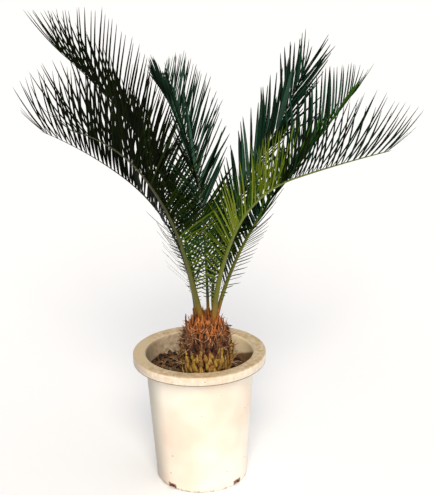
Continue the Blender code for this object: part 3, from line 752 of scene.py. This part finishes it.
# A sheath or dry scale leaf: a slim blade from a root point, bending as it goes. Its shade is
# given, or is drawn from several.
def addSheath(shape, rng, root, heading, side, figures, shade, scale=1):
    length = scale * rng.uniform(*figures["length"])
    halfWidth, curl = rng.uniform(*figures["halfWidth"]), rng.uniform(*figures["curl"])
    shade = rng.choice(shade) if isinstance(shade, tuple) else shade
    stations, point, steps = [], root.copy(), len(sheathWidths)
    for k, wide in enumerate(sheathWidths):
        bent = Matrix.Rotation(curl * k / (steps - 1), 3, side) @ heading
        if k:
            point = point + bent * length / steps
        stations.append((point.copy(), side, bent.cross(side), halfWidth * wide, figures["thickness"]))
    sweep(shape, stations, sheathSection, shade, point + bent * length / steps)


# dry shreds of old sheaths stick out all the way up, most of all round the middle
shredSizes = {
    "count": 300, "middle": 0.47, "spread": 0.2, "ends": (0.04, 0.86), "lean": (8, 58),
    "length": (0.01, 0.024), "halfWidth": (0.0009, 0.0026), "thickness": 0.0013,
    "curl": (-0.7, 0.7), "lowShare": 0.33, "turnStray": 0.2, "aside": 0.6, "out": (0, 0.004),
    "roll": 0.9,
    "tones": (("shredDark", "#2A120A", "#64381E"), ("shredBrown", "#5A3016", "#8A5428"),
              ("shredOlive", "#6A5216", "#9C7C2C"), ("shredGrey", "#5E5347", "#988A78"),
              ("shredRust", "#7C4122", "#A8602F"), ("shredStraw", "#A07A56", "#CFA985")),
}


def makeShreds():
    sizes, rng, shreds = shredSizes, random.Random(31), newShape()
    for i in range(sizes["count"]):
        outward, side = spokeAt(i * goldenAngle + stray(rng, sizes["turnStray"]))
        share = min(max(rng.gauss(sizes["middle"], sizes["spread"]), sizes["ends"][0]), sizes["ends"][1])
        lean = math.radians(rng.uniform(*sizes["lean"]))
        heading = (leaned(outward, lean) + side * stray(rng, sizes["aside"])).normalized()
        root = onTrunk(outward, trunkFoot + trunkRise * share, rng.uniform(*sizes["out"]))
        across = (side - heading * side.dot(heading)).normalized()
        across = Matrix.Rotation(stray(rng, sizes["roll"]), 3, heading) @ across
        low = share < sizes["lowShare"]
        shade = rng.choice((0, 1, 2, 2, 3) if low else (0, 0, 1, 1, 3, 4, 5))
        addSheath(shreds, rng, root, heading, across, sizes, shade)
    makePiece("trunk_shreds", shreds, fibrousSet(sizes["tones"], 0.004, 0.92, 0.0006, (1, 1, 0.3)),
              (), 50)


woolLook = (0.0025, 0.92, 0.001, (1, 1, 0.25))
sheathSizes = {
    # woolly scale leaves, pressed to the crown
    "scales": {"count": 190, "length": (0.012, 0.024), "halfWidth": (0.002, 0.0058),
               "thickness": 0.0022, "curl": (-0.5, 0.2), "below": 0.022, "over": 0.004,
               "turnStray": 0.1, "lean": (2, 30), "uprighter": 14, "aside": 0.2, "out": -0.001},
    # tall ones between the leaf stalks
    "tall": {"count": 44, "length": (0.014, 0.034), "halfWidth": (0.0016, 0.0036),
             "thickness": 0.0018, "curl": (-0.25, 0.25), "below": 0.004, "lean": (-4, 14),
             "aside": 0.12, "nearest": 0.005, "reach": 0.022},
    # blunt clumps of wool on the shoulder, and the tall ones against the outer stalks
    "wool": {"count": 7, "length": (0.75, 1.1), "halfWidth": (0.0026, 0.0046),
             "thickness": 0.0026, "curl": (-0.2, 0.2), "spread": 11, "lean": (-0.05, 0.22),
             "aside": 0.12, "out": 0.003},
    # azimuth, radius, height, length and shade of each
    "clumps": (
        (188, 0.038, 0.362, 0.021, 0), (214, 0.037, 0.36, 0.018, 1), (246, 0.036, 0.364, 0.02, 0),
        (292, 0.036, 0.362, 0.018, 1), (335, 0.034, 0.366, 0.022, 0), (60, 0.036, 0.362, 0.019, 1),
        (120, 0.037, 0.362, 0.02, 0), (-20, 0.026, 0.376, 0.04, 1), (196, 0.025, 0.376, 0.038, 2),
        (262, 0.008, 0.384, 0.03, 2)),
    # two old stalk stubs that stand out left and right: azimuth, radius, height, lean, length, curl
    "stubs": ((186, 0.042, 0.357, 17, 0.047, -0.35), (-8, 0.034, 0.37, 76, 0.028, 0.25)),
    "stubHalfWidth": 0.0036, "stubThickness": 0.0034,
    "tones": (
        ("sheathWoolRust", "#6E2E0A", "#CC7A34", *woolLook),
        ("sheathWoolOrange", "#86380E", "#E09850", *woolLook),
        ("sheathWoolBrown", "#421E0A", "#985A2E", *woolLook),
        ("sheathDryDark", "#3A2420", "#65443A", 0.004, 0.92, 0.0008, (1, 1, 0.3)),
        ("deadStalkGrey", "#2E2C30", "#5E6064", 0.004, 0.7)),
}


def makeSheaths():
    sizes, rng, sheaths = sheathSizes, random.Random(11), newShape()
    scales, tall, wool = sizes["scales"], sizes["tall"], sizes["wool"]
    lowest = trunkFoot + trunkSizes["shoulder"] - scales["below"]
    for i in range(scales["count"]):
        share = i / (scales["count"] - 1)
        outward, side = spokeAt(i * goldenAngle + stray(rng, scales["turnStray"]))
        height = lowest + (trunkTop + scales["over"] - lowest) * share
        lean = math.radians(rng.uniform(*scales["lean"]) - scales["uprighter"] * share)
        heading = (leaned(outward, lean) + side * stray(rng, scales["aside"])).normalized()
        shade = rng.choice((0, 1, 1, 2) if share > 0.3 else (0, 2, 3))
        root = onTrunk(outward, height, scales["out"])
        addSheath(sheaths, rng, root, heading, side, scales, shade)
    for i in range(tall["count"]):
        outward, side = spokeAt(i * goldenAngle)
        lean = math.radians(rng.uniform(*tall["lean"]))
        heading = (leaned(outward, lean) + side * stray(rng, tall["aside"])).normalized()
        radius = tall["nearest"] + tall["reach"] * math.sqrt(i / tall["count"])
        root = trunkAxis + outward * radius + up * (trunkTop - tall["below"])
        addSheath(sheaths, rng, root, heading, side, tall, (0, 0, 1, 2))
    for azimuth, radius, height, length, shade in sizes["clumps"]:
        for _ in range(wool["count"]):
            outward, side = spokeAt(math.radians(azimuth + stray(rng, wool["spread"])))
            heading = up + outward * rng.uniform(*wool["lean"]) + side * stray(rng, wool["aside"])
            root = trunkAxis + outward * (radius + stray(rng, wool["out"])) + up * height
            addSheath(sheaths, rng, root, heading.normalized(), side, wool, shade, length)
    for azimuth, radius, height, lean, length, curl in sizes["stubs"]:
        outward, side = spokeAt(math.radians(azimuth))
        stub = {"length": (length, length), "halfWidth": (sizes["stubHalfWidth"],) * 2,
                "curl": (curl, curl), "thickness": sizes["stubThickness"]}
        root = trunkAxis + outward * radius + up * height
        addSheath(sheaths, rng, root, leaned(outward, math.radians(lean)), side, stub, 4)
    makePiece("crown_sheaths", sheaths, fibrousSet(sizes["tones"]), (), 50)


hairSection = ((-1, -0.6), (1, -0.6), (0, 1))
# real hairs are under 0.3 mm thick, and are drawn 0.8 to 1.2 mm thick so that they show
hairSizes = {
    # dry grey fibre stands off the left of the trunk
    "grey": {"count": 90, "radius": 0.0006, "length": (0.01, 0.024), "band": (0.4, 0.8),
             "wander": 1.6, "shades": (1, 4, 4), "middle": 192, "spread": 22,
             "outward": (0.3, 0.9), "upward": (0.2, 1)},
    "rust": {"count": 240, "radius": 0.0004, "length": (0.008, 0.018), "band": (0.62, 0.98),
             "wander": 1.1, "shades": (0, 1)},
    "pale": {"count": 170, "radius": 0.00055, "length": (0.012, 0.036), "band": (0.12, 0.95),
             "wander": 1.1, "shades": (2, 2, 3)},
    "steps": 7, "outward": (0.15, 0.8), "upward": (-0.2, 1), "aside": 0.9, "out": (0, 0.004),
    "tones": (("hairRust", "#A0542A", "#CC7A40"), ("hairBrown", "#5A3320", "#7E4E2E"),
              ("hairStraw", "#C89A76", "#EBC4A0"), ("hairSalmon", "#C4784A", "#EBA67A"),
              ("hairGrey", "#5C5446", "#948A7A")),
}


def addHair(shape, rng, root, heading, figures):
    length, shade = rng.uniform(*figures["length"]), rng.choice(figures["shades"])
    stations, point, bent, steps = [], root.copy(), heading.normalized(), hairSizes["steps"]
    swing = Vector([stray(rng, 1) for _ in range(3)]) * figures["wander"]
    for _ in range(steps):
        side = bent.cross(up) if abs(bent.z) < 0.95 else bent.cross(Vector((1, 0, 0)))
        side.normalize()
        stations.append((point.copy(), side, bent.cross(side), figures["radius"], figures["radius"]))
        bent = (bent + swing / (steps - 1)).normalized()
        point = point + bent * length / steps
    sweep(shape, stations, hairSection, shade, point)


def makeHairs():
    sizes, rng, hairs = hairSizes, random.Random(23), newShape()
    grey = sizes["grey"]
    for _ in range(grey["count"]):
        outward = outwardAt(math.radians(rng.gauss(grey["middle"], grey["spread"])))
        root = onTrunk(outward, trunkFoot + trunkRise * rng.uniform(*grey["band"]))
        heading = outward * rng.uniform(*grey["outward"]) + up * rng.uniform(*grey["upward"])
        addHair(hairs, rng, root, heading, grey)
    for kind in (sizes["rust"], sizes["pale"]):
        for _ in range(kind["count"]):
            outward, side = spokeAt(rng.uniform(0, fullTurn))
            height = trunkFoot + trunkRise * rng.uniform(*kind["band"])
            root = onTrunk(outward, height, rng.uniform(*sizes["out"]))
            heading = outward * rng.uniform(*sizes["outward"]) + up * rng.uniform(*sizes["upward"])
            addHair(hairs, rng, root, heading + side * stray(rng, sizes["aside"]), kind)
    makePiece("crown_hairs", hairs, fibrousSet(sizes["tones"], 0.003))


makeCore()
makeBases()
makeShreds()
makeSheaths()
makeHairs()
print("trunk and crown")


# the fronds

ribSizes = {
    "start": 0.3833, "petiole": 0.085, "step": 0.002, "ringEvery": 0.01, "rollRise": 2.5,
    "taper": (1, 0.7, 0.5, 0.36, 0.24, 0.15), "depth": 0.85, "sunk": 0.003,
}
leafletSizes = {
    "pitch": 0.0102, "endLeaflet": 0.045, "upturn": 0.1, "bow": 0.035, "margin": 0.0005,
    # wide apart on the stalk, close above it and wider again towards the end
    "spacing": (1.3, 0.72, 0.78, 0.95, 1.1, 1.2),
    # from the lowest leaflet of a frond to its last one
    "lengths": (0.062, 0.11, 0.134, 0.152, 0.156, 0.108),
    "widths": (0.0046, 0.0064, 0.007, 0.007, 0.006, 0.0036),
    "angles": (66, 68, 56, 50, 44, 30),
    "raises": (-6, 20, 54, 60, 58, 50),
    "louvre": 0.5, "slimness": 0.0009, "thickness": 0.35, "upturnPower": 2.2, "bowPower": 0.8,
    "turnedBy": 0.12, "rootOut": 0.42, "rootOver": 0.12,
    "toneEdges": (0.27, 0.55),  # shares where the colours near the stalk and of the middle end
    "spines": 4, "spineWidth": 0.0022, "spineStart": 0.5, "spineReach": 0.48,
    "spineLeast": 0.006, "spineMore": 0.04,
    "endWidth": 0.0036, "endLift": 0.35, "endLengths": (1.2, 1.7),
    # how far a place, an angle, a raise, a twist and a length stray by chance
    "astray": 0.0012, "angleStray": 2.2, "raiseStray": 3, "twistStray": 0.2,
    "lengthStray": (0.955, 1.03), "spineStray": 8, "endLeans": (-20, -6, 7, 19),
}
# how a leaflet in another frond's way is turned, and then cut shorter
leafletTries = [
    (raised, turned, trim) for trim in (1, 0.84, 0.68, 0.52, 0.38, 0.26)
    for raised in (0, 3, -3, 7, -7, 14, -14, 24, -24) for turned in (0, 3, -3, 7, -7)]

# The light came from the front and above, and the leaflets of some rows have turned to it.
lightSide = Vector((-0.1, -0.85, 0.5)).normalized()
# Leans are in degrees off upright, from a rib's foot to its end. Closeness scales the spacing of
# the leaflets along the rib: under 1 is closer. Left and right are as seen from the trunk, and each
# row's figures run from its lowest leaflet to its last: forward angle and raise over the common
# ones, length and width as shares of the common ones, how far the blades have turned to the
# light, and the leaf tones.
frondSizes = {
    "frond_back_left": {
        "azimuth": 107, "foot": 0.013, "aside": 0.01, "stalk": 0.008, "length": 0.685,
        "leans": (0.5, 11.3, 66.4, 78), "rib": "shaded", "closeness": (0.7, 0.76),
        "left": ((-2, -6, -12, -12), (-4, -6, 16, 12), (1.1, 1.22, 0.98, 0.92, 0.82),
                 (0.5, 1, 0.8, 0.8, 0.8), (0, 0.9, 0.9), "teal"),
        "right": ((-10, -25, -8, 4, 4), (-4, -16, 0, 0), (1, 0.96, 1.04, 0.92, 0.8),
                  (0.8, 1.1, 0.9, 0.9, 0.9), (0, 0.7, 0.8), "blue")},
    "frond_left_high": {
        "azimuth": 148, "foot": 0.026, "stalk": 0.0095, "length": 0.714,
        "leans": (-1.5, 20.3, 44.2, 58.2), "roll": 8, "rib": "shaded",
        "left": ((0, -3), (0, -13, -13), (0.3, 1.06, 1.14, 1.14), (0.4, 0.85, 0.65), (0.2, 0.3),
                 "olive"),
        "right": ((0, -3), (0, 0), (0.95, 0.84, 0.9, 1.02, 1.14, 1.06), (0.9, 0.85, 1.05), (0, 0.1),
                  "shade")},
    "frond_left_front": {
        "azimuth": 218, "foot": 0.0095, "stalk": 0.0165, "length": 0.6,
        "leans": (16, 13, 19.5, 29, 38, 54, 70), "rib": "dimmed",
        "closeness": (0.72, 0.86, 1, 1),
        "left": ((2, 4, 6), (0, 0), (1.1, 1, 1.22, 1.25), (0.85, 0.68, 0.65), (0.2, 0.2), "front"),
        "right": ((2, 4, 12), (0, 0), (1.35, 1.05, 1.22, 1.25), (0.5, 0.75, 0.8), (0, 0), "front")},
    "frond_left_low": {
        "azimuth": 178, "foot": 0.022, "stalk": 0.0092, "length": 0.575,
        "leans": (1, 22.5, 51.5, 66), "rib": "shaded",
        "left": ((-4, 8, 12, 14), (0, 0), (0.4, 1.05, 1.15, 1.2), (0.6, 0.8, 0.7), (0, 0), "shade"),
        "right": ((-4, 8, 12, 14), (0, 0), (0.4, 1.05, 1.15, 1.2), (0.6, 0.75, 0.7), (0, 0), "shade")},
    "frond_back_right": {
        "azimuth": 42, "foot": 0.026, "stalk": 0.009, "length": 0.616,
        "leans": (-8.5, 30.5, 44, 31), "rib": "shaded", "closeness": (0.72, 0.72),
        "left": ((-4, -24, -20, -14), (0, 0), (0.6, 0.76, 1, 1, 0.92), (1.1, 1.2, 1.3),
                 (0.3, 0.6, 0.6), "blue"),
        "right": ((0, 14, 12), (0, -30, -30), (0.4, 0.9, 1.05, 1), (1.2, 1.5, 1.9), (0.2, 0.6, 0.7),
                  "blue")},
    "frond_right_high": {
        "azimuth": 14, "foot": 0.024, "stalk": 0.012, "length": 0.588,
        "leans": (13.5, 30, 41, 40), "roll": 25, "rib": "green", "closeness": (0.86, 0.9),
        "left": ((0, -3), (0, 0), (1, 1, 0.98, 0.66), (1, 1.2, 1), (0, 0.5, 0.6), "blue"),
        "right": ((0, -17, -19, -19), (0, -6), (0.9, 0.85, 0.8, 0.8), (0.5, 1, 1.1),
                  (0, 0.8, 1, 1), "green")},
    "frond_right_low": {
        "azimuth": -38, "foot": 0.0225, "stalk": 0.015, "length": 0.675,
        "leans": (5, 26, 66.9, 70.3), "rib": "green",
        "closeness": (0.74, 0.8, 1.12, 1.25),
        "left": ((2, 2, 6), (0, 0, 6), (1, 1, 1, 0.95), (0.6, 0.5, 0.45, 0.6), (0, 0), "sunny"),
        "right": ((0, -22, -14, 4, -4), (0, 0, 6), (1, 1, 1, 0.95), (0.55, 0.6, 0.6, 0.9),
                  (0.4, 0.4, 0), "sunny")},
}
# leaf colours by row: near the stalk, along the middle and at the end. Rows in shade take darker copies
# and rows in the light lighter ones: painted shade and painted light.
leafTones = {
    "front": ((0, 1, 1), (2, 3), (3, 4)),
    "olive": ((1, 2), (2, 3), (3, 3)),
    "shade": ((1, 2), (4, 3), (4, 4)),
    "blue": ((1, 1, 5), (5, 6, 6, 8), (5, 6, 6, 8)),
    "teal": ((1, 5), (6, 4, 6, 8), (6, 4, 6)),
    "green": ((0, 1), (9, 1), (9, 9, 1)),
    "sunny": ((7, 7, 0, 0, 1), (7, 7, 0, 1), (3, 6)),
}
# the margins roll under and are painted darker, painted shade: the material of each one's margins
leafMarginShades = (1, 3, 3, 3, 4, 6, 4, 1, 6, 1)
# lit and shaded copies of the leaf green: the sunlit, lit yellow-green and lit green ones are painted
# light, the shaded olive and deep shade green painted shade, and the teal highlight a painted highlight
leafColours = (
    ("leafletLitYellowGreen", "#576714"), ("leafletMidGreen", "#2C4814"), ("leafletOlive", "#1A2604"),
    ("leafletShadedOlive", "#0B1401"), ("leafletDeepShadeGreen", "#060B01"), ("leafletBlueGreen", "#1C3C29"),
    ("leafletDeepBlueGreen", "#132C1F"), ("leafletSunlit", "#76842A"), ("leafletTealHighlight", "#3A5C4C"),
    ("leafletLitGreen", "#3E7422"),
)


# A living leaflet: hard, waxy cuticle over dark green, so a plain deep colour with a soft
# gloss that breaks up a little along the blade.
def makeLeaf(name, code, gloss=0.5):
    material, tree, shader, place = newMaterial(name, code, gloss, 1.45)
    shader.inputs["Specular IOR Level"].default_value = 0.05
    wax = addNode(tree, "TexNoise", {"Scale": 120, "Detail": 3}, {"Vector": place})
    duller = addNode(tree, "MapRange", {"To Min": gloss - 0.08, "To Max": gloss + 0.12},
                     {"Value": wax})
    bump = addNode(tree, "Bump", {"Strength": 0.4, "Distance": 0.0003}, {"Height": wax})
    connect(tree, shader, {"Roughness": duller, "Normal": bump})
    return material


# Living leaf stalk: smooth, waxy, rusty where the wool rubs it, then olive, and from its middle up
# a colour given for each copy: lighter for the sunlit one, painted light, and darker for the dimmed
# and shaded ones, painted shade.
def makeStalk(name, low, middle, high):
    material, tree, shader, place = newMaterial(name, high, 0.45, 1.45)
    axes = addNode(tree, "SeparateXYZ", links={"Vector": place})
    height = addNode(tree, "MapRange", {"From Min": 0.38, "From Max": 0.7},
                     {"Value": axes.outputs["Z"]})
    tones = addNode(tree, "ValToRGB", {"stops": [
        (0, "#9A5216"), (0.08, "#866012"), (0.17, low), (0.55, middle), (1, high)]},
        {"Fac": height})
    # brown wear in streaks of up to 6 mm
    streaks = addNode(tree, "TexNoise", {"Scale": 160, "Detail": 4}, {"Vector": place})
    worn = addNode(tree, "MapRange", {"From Min": 0.45, "From Max": 0.8, "To Max": 0.5},
                   {"Value": streaks})
    mixed = addNode(tree, "Mix", {"data_type": "RGBA", 7: fromHex("#5A4A20")},
                    {0: worn, 6: tones})
    bump = addNode(tree, "Bump", {"Strength": 0.5, "Distance": 0.0005}, {"Height": streaks})
    connect(tree, shader, {"Base Color": mixed, "Normal": bump})
    return material


leafMaterials = [makeLeaf(name, code) for name, code in leafColours]
stalkSection = ((0, -0.52), (0.62, -0.42), (1, -0.04), (0.76, 0.34), (0.26, 0.42), (0, 0.3),
                (-0.26, 0.42), (-0.76, 0.34), (-1, -0.04), (-0.62, -0.42))
leafSection = ((0, -0.42), (1, -0.28), (0.5, 0.05), (0, -0.07), (-0.5, 0.05), (-1, -0.28))
leafProfile = ((0, 0.45), (0.06, 0.7), (0.17, 0.95), (0.36, 1), (0.56, 0.96), (0.74, 0.78),
               (0.88, 0.48), (0.96, 0.22))
slimProfile = ((0.04, 0.5), (0.4, 1), (0.75, 0.8))


# Points along a frond's rib, each with its tangent, its upper side and its right side.
def ribPath(figures):
    length, leans = figures["length"], figures["leans"]
    outward = outwardAt(math.radians(figures["azimuth"]))
    right = Vector((outward.y, -outward.x, 0))
    place = trunkAxis + up * ribSizes["start"] + outward * figures["foot"] \
        + right * figures.get("aside", 0)
    path, travelled = [], 0
    count = round(length / ribSizes["step"])
    step = length / count
    for k in range(count + 1):
        lean = math.radians(along(leans, travelled / length))
        levelUpper = up * math.sin(lean) - outward * math.cos(lean)
        rolled = math.radians(figures.get("roll", 0)) \
            * min(1, ribSizes["rollRise"] * travelled / length)
        upper = levelUpper * math.cos(rolled) + right * math.sin(rolled)
        side = right * math.cos(rolled) - levelUpper * math.sin(rolled)
        path.append((travelled, place.copy(), leaned(outward, lean), upper, side))
        lean = math.radians(along(leans, (travelled + step / 2) / length))
        place = place + leaned(outward, lean) * step
        travelled += step
    return path


def ribSize(distance, figures):  # width and depth
    width = figures["stalk"] * along(ribSizes["taper"], distance / figures["length"])
    return width, width * ribSizes["depth"]


def addRib(shape, path, figures, swell=0):
    every = max(1, round(ribSizes["ringEvery"] / ribSizes["step"]))
    kept = path[::every] + ([path[-1]] if (len(path) - 1) % every else [])
    stations = []
    for distance, place, _, upper, side in kept:
        width, depth = ribSize(distance, figures)
        if distance == 0:
            place = place - up * ribSizes["sunk"]
        stations.append((place, side, upper, width / 2 + swell, depth + 2 * swell))
    tip = path[-1][1] + path[-1][2] * (leafletSizes["endLeaflet"] * 0.3 + swell)
    sweep(shape, stations, stalkSection, 0, tip)


# One leaflet's figures: where it starts, which way it goes and how it lies.
def leafletAim(figures, station, sign, share, jitter, raising=0, turning=0, trim=1):
    distance, place, tangent, upper, side = station
    angleShift, raiseShift, scale = [
        along(figure, share) for figure in figures["right" if sign > 0 else "left"][:3]]
    width, depth = ribSize(distance, figures)
    root = place + side * (sign * width * leafletSizes["rootOut"]) \
        + upper * depth * leafletSizes["rootOver"]
    angle = math.radians(along(leafletSizes["angles"], share) + angleShift + turning + jitter[0])
    raised = math.radians(along(leafletSizes["raises"], share) + raiseShift + raising + jitter[1])
    out = side * (sign * math.cos(raised)) + upper * math.sin(raised)
    heading = tangent * math.cos(angle) + out * math.sin(angle)
    return root, heading, along(leafletSizes["lengths"], share) * scale * trim * jitter[2]


# The directions across a blade and through it, the second on its upper side.
def bladeAxes(ahead, tangent, upper):
    across = (tangent - ahead * tangent.dot(ahead)).normalized()
    through = ahead.cross(across)
    return across, -through if through.dot(upper) < 0 else through


# The angle that turns a blade's upper face to the light about the blade's own length.
def lightAngle(heading, tangent, upper):
    across, through = bladeAxes(heading, tangent, upper)
    angle = math.atan2(lightSide.dot(across), lightSide.dot(through))
    if abs(angle) > math.pi / 2:  # the under face is nearer to the light
        angle -= math.copysign(math.pi, angle)
    return angle


def leafletStations(root, heading, length, width, tangent, upper, twist, profile=leafProfile):
    stations, sizes = [], leafletSizes
    bow, rise = sizes["bow"] * length, up * (length * sizes["upturn"])

    def pointAt(t):
        bowed = tangent * bow * math.sin(math.pi * t ** sizes["bowPower"])
        return root + heading * length * t + rise * t ** sizes["upturnPower"] + bowed
    for t, wide in profile:
        ahead = (pointAt(t + 0.02) - pointAt(t)).normalized()
        across, through = bladeAxes(ahead, tangent, upper)
        turn = twist * min(1, t / sizes["turnedBy"])
        edge = across * math.cos(turn) - through * math.sin(turn)
        face = through * math.cos(turn) + across * math.sin(turn)
        stations.append((pointAt(t), edge, face, width / 2 * wide, width * sizes["thickness"]))
    return stations, pointAt(1)


# A plain, slightly larger leaflet that finds what a leaflet would touch.
def proxyTree(root, heading, length, width, tangent, upper, twist):
    slim = newShape()
    stations, tip = leafletStations(
        root, heading, length, width, tangent, upper, twist, slimProfile)
    grown = [(centre, across, through, half + leafletSizes["margin"], leafletSizes["slimness"])
             for centre, across, through, half, _ in stations]
    sweep(slim, grown, squareSection, 0, tip + heading * leafletSizes["margin"])
    return treeOf(slim)


def makeFrond(node, figures, path, others, stalk, rng):
    length, petiole, sizes = figures["length"], ribSizes["petiole"], leafletSizes
    rib, leaves = newShape(), newShape()

    def stationAt(distance):
        last = len(path) - 1
        return path[min(max(round(distance / length * last), 0), last)]
    addRib(rib, path, figures)
    closeness = figures.get("closeness", (1, 1))
    shares, previous = [0], {1: [], -1: []}
    while shares[-1] < 1:
        pitch = sizes["pitch"] * along(sizes["spacing"], shares[-1]) * along(closeness, shares[-1])
        shares.append(shares[-1] + pitch / (length - petiole))
    for share in shares[:-1]:
        for sign in (1, -1):
            station = stationAt(petiole + (length - petiole) * share + stray(rng, sizes["astray"]))
            tangent, upper = station[2:4]
            jitter = (stray(rng, sizes["angleStray"]), stray(rng, sizes["raiseStray"]),
                      rng.uniform(*sizes["lengthStray"]))
            row = figures["right" if sign > 0 else "left"]
            twist = sizes["louvre"] + stray(rng, sizes["twistStray"])
            tones = leafTones[row[5]]
            width = along(sizes["widths"], share) * along(row[3], share)
            tone = rng.choice(tones[sum(share >= edge for edge in sizes["toneEdges"])])
            for tried in leafletTries:
                aimed = leafletAim(figures, station, sign, share, jitter, *tried)
                facing = twist + along(row[4], share) * lightAngle(aimed[1], tangent, upper)
                tree = proxyTree(*aimed, width, tangent, upper, facing)
                if not any(tree.overlap(other) for other in others + previous[sign]):
                    break
            else:  # no room for this one
                continue
            previous[sign] = [tree]
            stations, tip = leafletStations(*aimed, width, tangent, upper, facing)
            sweep(leaves, stations, leafSection,
                  lambda station, i: leafMarginShades[tone] if i in (1, 4) else tone, tip)
    # spines on the leaf stalk under the first leaflets
    for n in range(sizes["spines"]):
        for sign in (1, -1):
            share = (n + 1) / (sizes["spines"] + 1)
            station = stationAt((sizes["spineStart"] + sizes["spineReach"] * share) * petiole)
            jitter = (stray(rng, sizes["spineStray"]), 0, 1)
            root, heading, _ = leafletAim(figures, station, sign, 0, jitter)
            grown = sizes["spineMore"] * share ** 2 * rng.uniform(0.7, 1.1)
            stations, tip = leafletStations(
                root, heading, sizes["spineLeast"] + grown, sizes["spineWidth"], *station[2:4], 0)
            sweep(leaves, stations, leafSection, tones[0][0], tip)
    # the last leaflets close the end of the rib
    _, place, tangent, upper, side = path[-1]
    ahead = (tangent + upper * sizes["endLift"]).normalized()
    for lean in sizes["endLeans"]:
        heading = Matrix.Rotation(math.radians(lean), 3, upper) @ ahead
        endLength = sizes["endLeaflet"] * rng.uniform(*sizes["endLengths"])
        stations, tip = leafletStations(
            place, heading, endLength, sizes["endWidth"], side, upper, 0)
        sweep(leaves, stations, leafSection, tones[2][0], tip)
    makePiece(node + "_leaflets", leaves, leafMaterials, [node], 38)
    makePiece(node + "_rib", rib, [stalk], [node])
    return treeOf(leaves)


def makeFronds():
    # the stalk in a lit copy (green) and two darker ones: painted light and painted shade
    stalks = {
        "green": makeStalk("leafStalkSunlit", "#646010", "#5E6C14", "#68762A"),
        "dimmed": makeStalk("leafStalkDimmed", "#5E5A10", "#4A5414", "#30351C"),
        "shaded": makeStalk("leafStalkShaded", "#2C3A14", "#2A3616", "#1A2112")}
    paths = {node: ribPath(figures) for node, figures in frondSizes.items()}
    ribTrees = {}
    for node, figures in frondSizes.items():
        grown = newShape()
        addRib(grown, paths[node], figures, leafletSizes["margin"])
        ribTrees[node] = treeOf(grown)
    finished = []
    for index, (node, figures) in enumerate(frondSizes.items()):
        others = finished + [tree for other, tree in ribTrees.items() if other != node]
        finished.append(makeFrond(
            node, figures, paths[node], others, stalks[figures["rib"]], random.Random(40 + index)))


makeFronds()
print("fronds")
